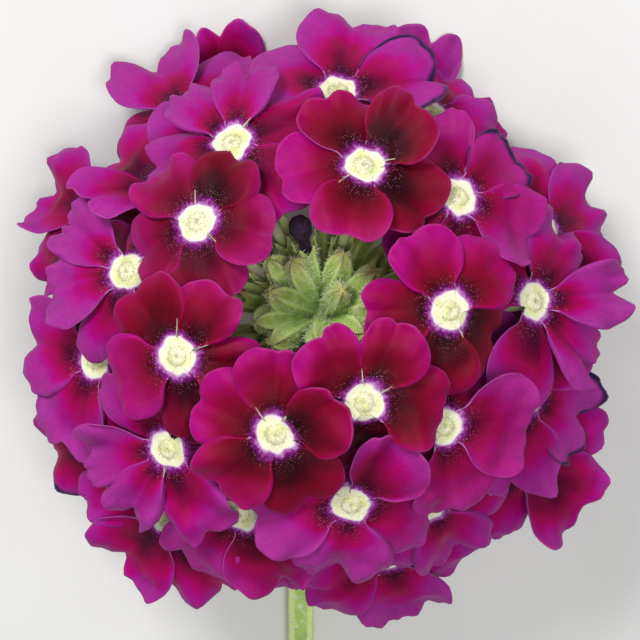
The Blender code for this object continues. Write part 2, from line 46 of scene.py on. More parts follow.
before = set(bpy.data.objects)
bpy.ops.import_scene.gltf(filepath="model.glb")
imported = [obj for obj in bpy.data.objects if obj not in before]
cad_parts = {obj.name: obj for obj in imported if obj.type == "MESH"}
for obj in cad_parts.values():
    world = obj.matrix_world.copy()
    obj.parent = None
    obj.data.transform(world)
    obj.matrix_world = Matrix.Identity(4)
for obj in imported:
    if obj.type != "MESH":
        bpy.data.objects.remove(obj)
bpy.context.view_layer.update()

MM = 0.001
HEAD_HEIGHT = 16.8
FACE_ELEVATION = 62.0
SEEN_ELEVATION = 69.5
TILT_SHARE = 0.70
TILT_SHARE_RIM = 0.56
RING_RADIUS = 1.15
CALYX_LENGTH = 11.5
SOCKET_DEPTH = 1.5
GAP = 0.3
RACHIS_TOP = 7.5
STEM_RADIUS = 1.75
STEM_END_Y = 78.0
STEM_BEND_RADIUS = 22.0
STEM_DRIFT = 2.6
SOLID_HALF = 0.3  # half the thickness of a petal's solid
MET = 0.03  # a petal this near its solid follows it
MISSED = 0.2  # a fit further than this from its solid's points isn't used
SENSOR = 36.0  # width of the camera's sensor in millimetres
PICTURE = 640  # pixels across the photo
FLOOR = 3.0  # half the width of the floor in metres
LAMP_AWAY = 0.6  # metres from the head to a lamp
EYE_INNER = 0.85  # where a petal begins, inside the mouth of the tube
# Where each kind of piece starts its random draws
SEEDS = {"floret": 100, "petal": 5000, "calyx": 300, "bract": 600, "lower bracts": 640, "young": 400,
         "bud calyx": 450, "throat hairs": 4, "green hairs": 20}

# Name, azimuth, polar angle, limb distance, petal length, the petals' directions, lifts,
# curls, and age from 0 young to 1 old
FLORETS = (
    ("floret_01", 297, 20, 27.8, 9.2, (66, 125, 203, 272, 357), (10, 14, -20, -32, 0),
     (-14, -12, -50, -50, -34), 0.10),
    ("floret_02", 248, 28, 27.4, 9.4, (35, 88, 158, 222, 305), (-20, 6, 4, 2, -4),
     (-16, -18, -22, -24, -30), 0.15),
    ("floret_03", 4, 29, 27.4, 9.2, (45, 120, 180, 258, 338), (0, 6, 6, -10, -24),
     (-20, -18, -16, -35, -30), 0.10),
    ("floret_04", 194, 35, 27.2, 9.0, (48, 124, 203, 280, 350), (4, 6, 4, 0, 2),
     (-18, -20, -22, -24, -24), 0.20),
    ("floret_05", 75, 38, 27.2, 9.2, (45, 118, 185, 255, 325), (34, 4, 2, 8, 2),
     (-10, -20, -20, -20, -24), 0.15),
    ("floret_06", 142, 38, 27.0, 8.8, (62, 127, 200, 280, 350), (4, 2, 0, 2, 2),
     (-22, -22, -24, -20, -20), 0.25),
    ("floret_07", 319, 39, 27.0, 10.4, (80, 150, 220, 274, 2), (-6, -20, -10, 2, 4),
     (-18, -10, -10, -24, -24), 0.45),
    ("floret_08", 42, 46, 27.0, 10.2, (42, 105, 188, 268, 337), (4, 4, 4, -14, 2),
     (-24, -24, 16, -20, -26), 0.40),
    ("floret_09", 279, 47, 27.0, 10.8, (55, 120, 187, 262, 340), (-16, -16, 2, 2, 0),
     (-10, -10, -24, -26, -24), 0.50),
    ("floret_10", 117, 51, 27.2, 11.0, (25, 80, 132, 184, 308), (20, 6, 4, 2, -6),
     (-10, -22, -24, -20, -24), 0.60),
    ("floret_11", 166, 52, 27.2, 10.8, (355, 82, 140, 194, 252), (-10, 6, 10, 8, 4),
     (-24, -22, -22, -20, -22), 0.70),
    ("floret_12", 220, 52, 27.2, 11.2, (130, 186, 236, 288, 352), (4, 8, 8, 2, -12),
     (-22, -22, -20, -22, -20), 0.60),
    ("floret_13", 5, 57, 27.2, 11.6, (4, 58, 140, 262, 315), (18, 4, -16, -6, 2),
     (-14, -24, -20, -20, -26), 0.65),
    ("floret_14", 247, 60, 26.2, 11.0, 300, (2, -8, -8, -4, 2), (-24, -20, -20, -20, -24), 0.45),
    ("floret_15", 139, 64, 25.0, 11.2, 150, (2, 2, -8, -8, 2), (-24, -22, -20, -20, -24), 0.75),
    ("floret_16", 86, 63, 27.8, 11.8, 78, (8, 10, -8, -10, 8), (-22, -20, -20, -20, -22), 0.65),
    ("floret_17", 339, 66, 26.2, 11.2, 340, (2, 2, -8, -8, 2), (-24, -24, -20, -20, -24), 0.80),
    ("floret_18", 300, 65, 25.6, 10.8, 300, (-4, -4, -8, -8, -4), (-22, -24, -20, -20, -24), 0.70),
    ("floret_19", 63, 65, 27.8, 9.8, 66, (-8, -10, -8, -8, -10), (-22, -22, -20, -20, -22), 0.70),
    ("floret_20", 190, 66, 27.4, 11.8, 165, (6, 6, -2, -8, -6), (-22, -22, -22, -20, -20), 0.80),
    ("floret_21", 325, 80, 27.6, 11.8, 318, (18, 8, -8, -8, 8), (-16, -24, -20, -20, -24), 0.85),
    ("floret_22", 22, 76, 27.2, 11.6, 30, (4, 2, -8, -8, 2), (-22, -24, -20, -20, -24), 0.80),
    ("floret_23", 124, 80, 28.2, 11.6, 122, (8, 6, -6, -8, 6), (-22, -20, -20, -20, -20), 0.85),
    ("floret_24", 232, 82, 28.4, 11.8, 225, (6, 4, -8, -8, 4), (-22, -24, -20, -20, -24), 0.80),
    ("floret_25", 285, 84, 27.6, 11.4, 290, (6, 4, -8, -8, 4), (-22, -24, -20, -20, -24), 0.80),
    ("floret_26", 155, 86, 28.2, 11.4, 150, (8, 6, -6, -8, 6), (-22, -20, -20, -20, -20), 0.90),
    ("floret_27", 208, 86, 28.0, 11.2, 200, (6, 4, -8, -8, 4), (-22, -24, -20, -20, -24), 0.90),
    ("floret_28", 111, 97, 26.6, 11.4, 106, (6, 4, -8, -8, 4), (-22, -24, -20, -20, -24), 0.90),
    ("floret_29", 68, 97, 26.6, 11.4, 72, (6, 4, -8, -8, 4), (-22, -24, -20, -20, -24), 0.90),
    ("floret_30", 262, 86, 26.0, 9.6, 262, (-4, -6, -8, -8, -4), (-22, -24, -20, -20, -24), 0.80),
)

# Young closed calyces: azimuth, polar angle, length
YOUNG = (
    (119, 32, 9.4), (50, 17, 9.0), (70, 36, 9.0), (38, 38, 9.0), (158, 30, 9.2),
    (134, 44, 9.0), (186, 38, 9.0), (212, 32, 9.0), (262, 17, 8.2), (336, 26, 8.4),
    (8, 30, 8.8),
)
BUD = (104, 42, 9.2)

sin, cos, rad = math.sin, math.cos, math.radians
SEEN = rad(SEEN_ELEVATION)
RIGHT = Vector((-1.0, 0.0, 0.0))
UP = Vector((0.0, -sin(SEEN), -cos(SEEN)))
TOWARD = Vector((0.0, -cos(SEEN), sin(SEEN)))
AXIS = Vector((0.0, -cos(rad(FACE_ELEVATION)), sin(rad(FACE_ELEVATION))))
CENTRE = Vector((0.0, 0.0, HEAD_HEIGHT))


def node_points(name):
    """A solid's points, in metres."""
    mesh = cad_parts[name].data
    flat = np.zeros(len(mesh.vertices) * 3)
    mesh.vertices.foreach_get("co", flat)
    return flat.reshape(-1, 3)


def draws(kind, number=0):
    """Random draws for one piece, the same in every run."""
    return np.random.default_rng(SEEDS[kind] + number)


def petal_sides(rows):
    """A point on each side of a petal's solid at each row of its middle line."""
    for here, up, _ in rows:
        for sign in (SOLID_HALF, -SOLID_HALF):
            at = here + up * sign
            at.z = max(at.z, 0.0)
            yield at


def find_shift():
    """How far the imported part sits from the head's own axes: read from the stem's cut end."""
    stem = node_points("stem_and_calyces")
    end = stem[stem[:, 1] > stem[:, 1].max() - 0.0002]
    x = (end[:, 0].min() + end[:, 0].max()) / 2 - STEM_DRIFT * MM
    return Vector((x, end[:, 1].max() - STEM_END_Y * MM, 0.0))


SHIFT = find_shift()


def head_points(name):
    """A solid's points in millimetres from the head's own axes."""
    return node_points(name) / MM - np.array(SHIFT) / MM


def colour(red, green, blue):
    """A display colour, given in 0 to 255, as scene linear values."""
    out = []
    for value in (red, green, blue):
        value /= 255.0
        out.append(value / 12.92 if value <= 0.04045 else ((value + 0.055) / 1.055) ** 2.4)
    return tuple(out)


# Where the florets and their petals stand

def seen_direction(azimuth, polar):
    a, p = rad(azimuth), rad(polar)
    return (RIGHT * (cos(a) * sin(p)) + UP * (sin(a) * sin(p)) + TOWARD * cos(p)).normalized()


def turned(vector, about, degrees):
    return Matrix.Rotation(rad(degrees), 3, about) @ vector


def limb_frame(azimuth, polar, distance, spin):
    """Limb centre, outward normal and the five petals' directions of a floret."""
    outward = seen_direction(azimuth, polar)
    angle = math.degrees(AXIS.angle(outward))
    about = AXIS.cross(outward).normalized()
    share = TILT_SHARE + (TILT_SHARE_RIM - TILT_SHARE) * min(max((polar - 40) / 35, 0.0), 1.0)
    normal = turned(AXIS, about, angle * share)
    alongs = []
    for degrees in (spin if isinstance(spin, tuple) else (spin,)):
        flat = RIGHT * cos(rad(degrees)) + UP * sin(rad(degrees))
        facing = normal.dot(TOWARD)
        if facing > 0.45:
            along = flat - TOWARD * (flat.dot(normal) / facing)
        else:
            along = flat - normal * flat.dot(normal)
        alongs.append(along.normalized())
    if len(alongs) == 1:
        alongs = [turned(alongs[0], normal, 72.0 * k) for k in range(5)]
    return CENTRE + outward * distance, normal, alongs, angle


def bezier(a, b, c, t):
    return a * ((1 - t) ** 2) + b * (2 * t * (1 - t)) + c * (t * t)


def floret_path(row, steps=9):
    """Calyx root and tip of a floret, and its tube's line up to the limb."""
    azimuth, polar, distance = row[1:4]
    centre, normal, _, angle = limb_frame(azimuth, polar, distance, row[5])
    outward = seen_direction(azimuth, polar)
    side = outward - AXIS * outward.dot(AXIS)
    if side.length > 1e-6:
        side.normalize()
    root = CENTRE + AXIS * (RACHIS_TOP - 11.0 * min(angle, 100.0) / 90.0) + side * 0.7
    ahead = (centre - normal * 4.0 - root).normalized()
    tip = root + ahead * CALYX_LENGTH
    bend = centre - normal * ((centre - tip).length * 0.5)
    start = tip - ahead * (SOCKET_DEPTH - GAP)
    line = [bezier(start, bend, centre - normal * 1.5, k / (steps - 1)) for k in range(steps)]
    return root, tip, line


def young_path(row):
    way = seen_direction(row[0], row[1])
    root = CENTRE + AXIS * (RACHIS_TOP - 1.4) + (way - AXIS * way.dot(AXIS)) * 1.5
    return root, root + way * (row[2] + 1.4)


MIDDLE_SHARES = (0.30, 0.52, 0.75, 0.885)
PETAL_END = 1.06  # share of a petal's length to which its middle line is drawn on


def middle_points(centre, normal, along, length, lift, curl):
    """The middle of a petal at each of its solid's rows, with the way up there.

    Where the petal would pass through the surface below, it turns and lies flat on it.
    """
    side = normal.cross(along)
    here = centre + along * RING_RADIUS
    before = RING_RADIUS / length
    out = []
    flat = False
    for share in MIDDLE_SHARES:
        angle = rad(lift + curl * ((share + before) / 2) ** 2)
        ahead = along * cos(angle) + normal * sin(angle)
        up = side.cross(ahead) * -1.0
        if up.dot(normal) < 0:
            up = -up
        move = ahead * ((share - before) * length)
        if (here + move).z < SOLID_HALF + 0.05:
            level = Vector((ahead.x, ahead.y, 0.0))
            if level.length < 0.3:
                level = Vector((normal.x, normal.y, 0.0))
            level.normalize()
            drop = max(0.0, here.z - SOLID_HALF)
            run = math.sqrt(max(0.0, move.length ** 2 - drop ** 2))
            move = level * run - Vector((0, 0, drop))
            up = Vector((0, 0, 1.0 if up.z > -0.3 else -1.0))
            flat = True
        here = here + move
        before = share
        out.append((here.copy(), up, flat))
    return out


def turns_tried():
    """Ways a petal may have been turned clear of its neighbours, the smallest change first."""
    out = []
    for step in range(-24, 25):
        for swing in (-12, -6, 0, 6, 12):
            for shorter in (1.0, 0.9, 0.8):
                lift = 3 * step
                cost = (abs(lift) * (0.8 if lift < 0 else 1.5) + abs(swing) * 0.7
                        + (1 - shorter) * 130)
                out.append((cost, lift, swing, shorter))
    return [way[1:] for way in sorted(out)]


TURNS = turns_tried()


def gap_to_faces(name, rows):
    """The furthest that the sides of a petal's middle line stand from its solid's faces."""
    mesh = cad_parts[name].data
    faces = [list(face.vertices) for face in mesh.polygons]
    solid = BVHTree.FromPolygons(head_points(name).tolist(), faces)
    return max(solid.find_nearest(at)[3] for at in petal_sides(rows))


def placed_petals(row):
    """Each petal of a floret as its solid stands: direction, length, lift, curl, half widths."""
    name, azimuth, polar, distance, length, spin, lifts, curls = row[:8]
    centre, normal, alongs = limb_frame(azimuth, polar, distance, spin)[:3]
    points = head_points(name)
    near = KDTree(len(points))
    for i, p in enumerate(points):
        near.insert(p, i)
    near.balance()

    def miss(rows):
        """How far the rows stand from the solid's points; beyond MISSED only that it is further."""
        worst = 0.0
        for at in petal_sides(rows):
            worst = max(worst, near.find(at)[2])
            if worst > MISSED:
                break
        return worst

    petals = []
    for k in range(5):
        best = (9.0, 0, 0, 1.0)
        for offset, swing, shorter in TURNS:
            lift = lifts[k] + offset
            if lift < -60 or lift > 72:
                continue
            along = turned(alongs[k], normal, swing)
            off = miss(middle_points(centre, normal, along, length * shorter, lift, curls[k])[:3])
            if off < best[0]:
                best = (off, lift, swing, shorter)
            if off < MET:
                break
        off, lift, swing, shorter = best
        if off > MISSED:
            # A petal pressed flat has no points in its middle: its solid's faces are asked instead
            lift, swing, shorter = lifts[k], 0, 1.0
            gap = gap_to_faces(name, middle_points(centre, normal, alongs[k], length, lift, curls[k]))
            if gap > MET:
                print("petal not met by its solid:", name, k, round(gap, 3))
        along = turned(alongs[k], normal, swing)
        reach = length * shorter
        line = middle_points(centre, normal, along, reach, lift, curls[k])
        here, up, flat = line[2]
        side = normal.cross(along)
        widths = []
        for sign in (1.0, -1.0):
            found = (9.0, 0.49)
            for tenth in range(12, 51):
                share = tenth / 100.0
                fold = 0.0 if flat else 0.12 * 0.49 * reach
                at = here + side * (sign * share * reach) + up * (fold + SOLID_HALF)
                off = near.find(at)[2]
                if off < found[0]:
                    found = (off, share)
            widths.append(found[1])
        petals.append({"along": along, "length": reach, "line": line, "widths": widths})
    for k, petal in enumerate(petals):
        fans = []
        for other, width in zip((petals[(k + 1) % 5], petals[k - 1]), petal["widths"]):
            half = math.degrees(petal["along"].angle(other["along"])) / 2
            fan = min(max(half + 6.0, 33.0), 47.0)
            fans.append(fan if width > 0.40 else max(fan * width / 0.45, 26.0))
        petal["fans"] = fans
    return centre, normal, petals


# Meshes from rows of points

def shown(name, data):
    """An object in the scene for a mesh, lamp or camera."""
    thing = bpy.data.objects.new(name, data)
    bpy.context.scene.collection.objects.link(thing)
    return thing


def side_by_side(shape, *values):
    """Values for each point of a sheet or ring, from numbers and rows of numbers."""
    return np.stack([np.broadcast_to(value, shape) for value in values], -1)


class Skin:
    """Collects the points, faces and painted values of one piece."""

    def __init__(self):
        self.points, self.uv, self.tone, self.faces, self.looks = [], [], [], [], []
        self.count = 0

    def add(self, points, uv, tone):
        """New points with their places on the petal and painted values; gives their numbers."""
        points = np.asarray(points, float).reshape(-1, 3)
        n = len(points)
        start = self.count
        self.points.append(points)
        self.uv.append(np.broadcast_to(np.asarray(uv, float), (n, 2)))
        self.tone.append(np.broadcast_to(np.asarray(tone, float), (n, 4)))
        self.count += n
        return np.arange(start, start + n)

    def quads(self, grid, look=0, closed=False, flip=False):
        """Faces over a grid of point numbers, rows by columns."""
        right = np.roll(grid, -1, axis=1)
        a, b, c, d = grid[:-1], right[:-1], right[1:], grid[1:]
        if not closed:
            a, b, c, d = (x[:, :-1] for x in (a, b, c, d))
        faces = np.stack([a.ravel(), b.ravel(), c.ravel(), d.ravel()], axis=1)
        if flip:
            faces = faces[:, ::-1]
        self.faces.extend(faces.tolist())
        self.looks.extend([look] * len(faces))

    def fan(self, ring, middle, look=0, flip=False):
        for i in range(len(ring)):
            face = [ring[i], ring[(i + 1) % len(ring)], middle]
            self.faces.append([int(x) for x in (face[::-1] if flip else face)])
            self.looks.append(look)

    def cap(self, ring, point, uv, tone, look=0, flip=False):
        """Closes a ring of points with a fan round one more point."""
        self.fan(ring, self.add([np.array(point)], uv, tone)[0], look, flip)

    def made(self, name, materials):
        mesh = bpy.data.meshes.new(name)
        points = (np.concatenate(self.points) * MM + np.array(SHIFT)).tolist()
        mesh.from_pydata(points, [], self.faces)
        for look in materials:
            mesh.materials.append(look)
        mesh.polygons.foreach_set("material_index", self.looks)
        corner = np.zeros(len(mesh.loops), int)
        mesh.loops.foreach_get("vertex_index", corner)
        layer = mesh.uv_layers.new(name="petal")
        layer.data.foreach_set("uv", np.concatenate(self.uv)[corner].ravel())
        tone = mesh.color_attributes.new("tone", "FLOAT_COLOR", "POINT")
        tone.data.foreach_set("color", np.concatenate(self.tone).ravel())
        mesh.polygons.foreach_set("use_smooth", [True] * len(mesh.polygons))
        mesh.update()
        return shown(name, mesh)


def smooth_line(knots, points, at):
    """Positions and directions along a smooth curve through points at growing knots."""
    knots, points, at = np.asarray(knots), np.asarray(points), np.asarray(at)
    slopes = np.gradient(points, knots, axis=0)
    i = np.clip(np.searchsorted(knots, at) - 1, 0, len(knots) - 2)
    step = (knots[i + 1] - knots[i])
    u = ((at - knots[i]) / step)[..., None]
    step = step[..., None]
    p0, p1, m0, m1 = points[i], points[i + 1], slopes[i] * step, slopes[i + 1] * step
    place = ((2 * u ** 3 - 3 * u ** 2 + 1) * p0 + (u ** 3 - 2 * u ** 2 + u) * m0
             + (-2 * u ** 3 + 3 * u ** 2) * p1 + (u ** 3 - u ** 2) * m1)
    way = ((6 * u ** 2 - 6 * u) * p0 + (3 * u ** 2 - 4 * u + 1) * m0
           + (-6 * u ** 2 + 6 * u) * p1 + (3 * u ** 2 - 2 * u) * m1)
    way /= np.linalg.norm(way, axis=-1, keepdims=True)
    return place, way


PETAL_ROWS, PETAL_COLUMNS = 28, 47

# Petals that stand out: depth of the middle fold, how far the tip rolls back, and how far the
# margin towards the next petal and the one before it stands up, all in millimetres
MARKED = {
    ("floret_05", 0): (1.1, 0.2, 0.5, 0.2), ("floret_05", 4): (0.2, -0.3, 0.9, 0.0),
    ("floret_05", 3): (0.2, 0.5, 0.0, 0.0), ("floret_06", 0): (0.3, 2.0, 0.0, 0.3),
    ("floret_06", 1): (0.5, 0.3, 0.3, 0.3), ("floret_06", 2): (0.6, 0.9, 0.0, 0.5),
    ("floret_03", 4): (1.0, 0.7, 0.0, 0.5), ("floret_03", 3): (0.3, 1.3, 0.0, 0.0),
    ("floret_03", 1): (0.2, 0.3, 0.0, 0.0), ("floret_04", 3): (0.3, 1.2, 0.0, 0.0),
    ("floret_02", 4): (0.6, 0.8, 0.2, 0.2), ("floret_01", 3): (0.4, 1.0, 0.3, 0.0),
    ("floret_01", 0): (0.2, 0.4, 0.0, 0.0), ("floret_01", 1): (0.2, 0.3, 0.0, 0.0),
    ("floret_01", 2): (0.3, 0.4, 0.0, 0.0),
    ("floret_08", 3): (0.7, 0.6, 0.4, 0.0), ("floret_07", 4): (0.5, -0.4, 0.4, 0.3),
    ("floret_09", 3): (0.9, 1.0, 0.4, 0.4), ("floret_10", 0): (0.8, 0.6, 0.3, 0.6),
    ("floret_10", 2): (0.5, 0.9, 0.5, 0.5), ("floret_12", 2): (0.8, 1.0, 0.4, 0.4),
    ("floret_13", 0): (0.6, 0.4, 0.5, 0.5), ("floret_11", 2): (0.7, 0.5, 0.6, 0.2),
}
# How bright each petal of the inner florets is, from 0 dark crimson to 1 bright magenta
# Partly the petal's own tone, partly painted shade on petals that lie in shadow or fold away.
SHADES = {
    "floret_01": (0.45, 0.60, 0.45, 0.15, 0.30), "floret_02": (0.25, 0.60, 0.65, 0.40, 0.10),
    "floret_03": (0.70, 0.85, 0.55, 0.25, 0.15), "floret_04": (0.40, 0.25, 0.70, 0.05, 0.55),
    "floret_05": (0.05, 0.35, 0.85, 0.45, 0.05), "floret_06": (0.05, 0.45, 0.40, 0.15, 0.35),
    "floret_07": (0.50, 0.75, 0.50, 0.70, 0.60), "floret_08": (0.75, 0.60, 0.45, 0.35, 0.80),
    "floret_09": (0.40, 0.45, 0.80, 0.90, 0.70), "floret_10": (0.30, 0.80, 0.85, 0.80, 0.25),
    "floret_11": (0.25, 0.60, 0.90, 0.85, 0.60), "floret_12": (0.70, 0.90, 0.85, 0.45, 0.25),
    "floret_13": (0.90, 0.60, 0.45, 0.35, 0.75),
}
# Gaps between petals, by the petal before them, where a pale fold shows beside the eye
PARTINGS = {
    "floret_01": (0, 4), "floret_02": (0, 1), "floret_03": (3,), "floret_04": (4, 0),
    "floret_05": (2, 4), "floret_06": (0, 3), "floret_07": (1,), "floret_12": (2,),
    "floret_10": (0,), "floret_08": (1,),
}
# Petals with a dried dark margin
DRIED = (("floret_08", 0), ("floret_16", 4), ("floret_17", 0), ("floret_27", 0))


def petal_outline(psi, rng, age):
    """How far a petal reaches at each share of its half angle, as a share of its length."""
    blade = 0.34 + 0.69 * np.clip(1 - np.abs(psi) ** rng.uniform(2.8, 4.0), 0, 1) ** 0.5
    depth = rng.uniform(0.03, 0.09) + 0.11 * age
    notch = 1 - depth * np.exp(-(np.abs(psi - rng.uniform(-0.08, 0.08)) / rng.uniform(0.13, 0.20)) ** 1.5)
    a, b, c = rng.uniform(0, 2 * math.pi, 3)
    deep = 0.7 + 0.6 * age
    edge = 1 + deep * (0.014 * np.sin(5 * psi + a) + 0.011 * np.sin(10 * psi + b)
                       + 0.005 * np.sin(18 * psi + c))
    lean = 1 + rng.uniform(-0.05, 0.05) * psi
    return blade * notch * edge * lean


def closed_sheet(skin, sheet, half, uv, tones):
    """A thin closed sheet: its two faces, with a wall round the edge between them."""
    du = np.gradient(sheet, axis=0)
    dv = np.gradient(sheet, axis=1)
    n = np.cross(du, dv)
    n /= np.linalg.norm(n, axis=-1, keepdims=True) + 1e-12
    grids = []
    for sign, tone in zip((1.0, -1.0), tones):
        points = sheet + n * (half * sign)
        points[..., 2] = np.maximum(points[..., 2], 0.01)
        grids.append(skin.add(points, uv.reshape(-1, 2), tone.reshape(-1, 4)).reshape(sheet.shape[:2]))
    top, low = grids
    skin.quads(top, flip=True)
    skin.quads(low, flip=False)
    for edge_top, edge_low, flip in ((top[0], low[0], False), (top[-1], low[-1], True),
                                     (top[:, 0], low[:, 0], True), (top[:, -1], low[:, -1], False)):
        skin.quads(np.stack([edge_top, edge_low]), flip=flip)


def petal_sheet(centre, normal, petal, rise, rng, age, mark, ease):
    """One petal's middle surface, bent along its solid's middle line; ease scales its relief."""
    along, length = petal["along"], petal["length"]
    side = np.array(normal.cross(along))
    x = np.linspace(-1, 1, PETAL_COLUMNS)
    psi = np.sin(x * math.pi / 2)
    fans = petal["fans"]
    reach = petal_outline(psi, rng, age) * length
    tau = np.linspace(0, 1, PETAL_ROWS)[:, None] ** 0.92
    r = EYE_INNER + (reach[None, :] - EYE_INNER) * tau
    t = r / reach[None, :]
    fan = np.where(psi > 0, rad(fans[0]), rad(fans[1])) * psi
    swell = (1 + 0.10 * np.sin(math.pi * np.clip((r - 3.0) / (length - 3.0), 0, 1) ** 0.8)
             - 0.10 * np.exp(-((r - 3.2) / 1.0) ** 2) + 0.30 * np.exp(-((r - EYE_INNER) / 1.1) ** 2))
    phi = fan[None, :] * swell
    share = r * np.cos(phi) / length
    line = [np.array(p) for p, up, flat in petal["line"]]
    near, far = MIDDLE_SHARES[-2:]
    last = line[-1] + (line[-1] - line[-2]) / (far - near) * (PETAL_END - far)
    knots = [0.0, RING_RADIUS / length, *MIDDLE_SHARES, PETAL_END]
    points = [np.array(centre), np.array(centre + along * RING_RADIUS), *line, last]
    place, way = smooth_line(knots, points, share)
    up = np.cross(way, side[None, None, :])
    up /= np.linalg.norm(up, axis=-1, keepdims=True)
    size = length / 10.0
    p = psi[None, :]
    out = np.clip((r - 1.6) / (length - 1.6), 0, 1)
    grow = out * out * (3 - 2 * out)
    a, b, c, d = rng.uniform(0, 2 * math.pi, 4)
    if mark is None:
        kind = rng.uniform()
        mark = (rng.uniform(0.6, 1.1) if kind < 0.2 else rng.uniform(0.2, 0.45),
                rng.uniform(0.8, 1.5) if kind > 0.7 else rng.uniform(-0.4, 0.6),
                rng.uniform(0, 0.6), rng.uniform(0, 0.6))
    depth, back, next_up, last_up = mark
    fold = rng.uniform(0.0, 0.5) * size
    height = fold * grow * (np.abs(p) ** 1.5)
    wide = 0.12 + 0.16 * min(max(depth - 0.4, 0.0), 1.0)
    height -= depth * size * np.exp(-(p / wide) ** 2) * grow * (1 - 0.35 * t)
    height += (next_up * np.clip(p - 0.35, 0, 1) ** 2
               + last_up * np.clip(-p - 0.35, 0, 1) ** 2) * 2.2 * grow
    height += rng.uniform(0.15, 0.55) * size * grow * np.sin(math.pi * np.abs(p)) ** 2
    ripple = rng.uniform(0.24, 0.46) * size * (0.8 + 0.8 * age)
    height += ripple * t ** 3 * np.sin(5.2 * p + a) * grow
    height += ripple * 0.6 * t ** 4 * np.sin(11.0 * p + b) * grow
    height += ripple * 0.35 * t ** 7 * np.sin(23.0 * p + c) * grow
    mid, flank = r * np.cos(phi), r * np.sin(phi)
    for reach_mm, deep in ((8.5, 0.34), (5.2, 0.26), (3.2, 0.13)):
        heading, offset = rng.uniform(0, 2 * math.pi, 2)
        height += deep * size * grow * np.sin(
            2 * math.pi / reach_mm * (mid * cos(heading) + flank * sin(heading)) + offset)
    height -= back * size * np.clip((t - 0.70) / 0.30, 0, 1) ** 2 * (0.7 + 0.3 * np.sin(3 * p + d))
    height *= ease
    height += rise[0] * np.clip(p, 0, 1) ** 2 * 0.42 * np.clip(t, 0, 1) * np.clip(out * 3, 0, 1)
    height += rise[1] * np.clip(-p, 0, 1) ** 2 * 0.42 * np.clip(t, 0, 1) * np.clip(out * 3, 0, 1)
    sheet = place + side[None, None, :] * flank[..., None] + up * height[..., None]
    lift = 0.12 - sheet[..., 2]
    sheet[..., 2] += np.where(lift > 0, lift, 0)
    return sheet, t, np.stack([flank, mid], axis=-1) / 10.0


def petal_skin(skin, made, age, shade, thickness):
    """Closes a petal's sheet and paints its age, its brightness (partly painted shade), its underside and
    its reach.
    """
    sheet, t, uv = made
    half = (thickness / 2 / MM) * (1.0 - 0.5 * t ** 4)[..., None]
    tones = [side_by_side(t.shape, age, shade, under, t)
             for under in (0.0, 1.0)]
    closed_sheet(skin, sheet, half, uv, tones)


def sheet_tree(sheet):
    """A sheet's faces in a tree that finds crossings with other sheets."""
    rows, columns = sheet.shape[:2]
    grid = np.arange(rows * columns).reshape(rows, columns)[::2]
    quads = np.stack([grid[:-1, :-1], grid[:-1, 1:], grid[1:, 1:], grid[1:, :-1]], axis=-1).reshape(-1, 4)
    return BVHTree.FromPolygons(sheet.reshape(-1, 3).tolist(), quads.tolist())


def laid_petal(number, k, row, centre, normal, petal, rise, others):
    """A petal's sheet, its relief eased where it would cross another floret's petals."""
    best = None
    for ease in (1.0, 0.7, 0.45, 0.2, 0.0):
        rng = draws("petal", 10 * number + k)
        made = petal_sheet(centre, normal, petal, rise, rng, row[8], MARKED.get((row[0], k)), ease)
        tree = sheet_tree(made[0])
        crossings = sum(len(tree.overlap(other)) for other in others)
        if best is None or crossings < best[0]:
            best = (crossings, made, tree)
        if crossings == 0:
            break
    return best


def parting_fold(skin, centre, normal, one, other, rng):
    """A slender pale fold that stands where two petals part beside the eye."""
    way = (one["along"] + other["along"]).normalized()
    heights = [float((petal["line"][0][0] - centre).dot(normal)) for petal in (one, other)]
    slope = max(heights) / (0.3 * one["length"])
    length = rng.uniform(1.0, 2.2)
    rings, grids = [], []
    for share, radius in ((0.0, 0.04), (0.1, 0.11), (0.4, 0.08), (0.7, 0.05), (0.93, 0.05), (1.0, 0.02)):
        reach = 2.0 + length * share
        at = centre + way * reach + normal * (0.34 + slope * reach * 0.8)
        rings.append(ring_at(at, way + normal * 0.1, radius, 8, normal))
        grids.append(skin.add(rings[-1], (0, 0), (0, 0.5, 0, 0.5)))
    skin.quads(np.array(grids), closed=True)
    ends = [np.mean(rings[i], axis=0) for i in (0, -1)]
    skin.cap(grids[0], ends[0], (0, 0), (0, 0.5, 0, 0.5), flip=True)
    skin.cap(grids[-1], ends[1], (0, 0), (0, 0.5, 0, 0.5))


def ring_at(at, ahead, radius, count, start):
    """Points round a direction; radius may be one number or one for each point."""
    at, ahead, start = np.array(at), np.array(ahead), np.array(start)
    ahead = ahead / np.linalg.norm(ahead)
    one = start - ahead * start.dot(ahead)
    one /= np.linalg.norm(one)
    two = np.cross(ahead, one)
    turn = 2 * math.pi * np.arange(count) / count
    radius = np.broadcast_to(radius, (count,))
    turn, radius = turn[:, None], radius[:, None]
    return at + (one[None, :] * np.cos(turn) + two[None, :] * np.sin(turn)) * radius


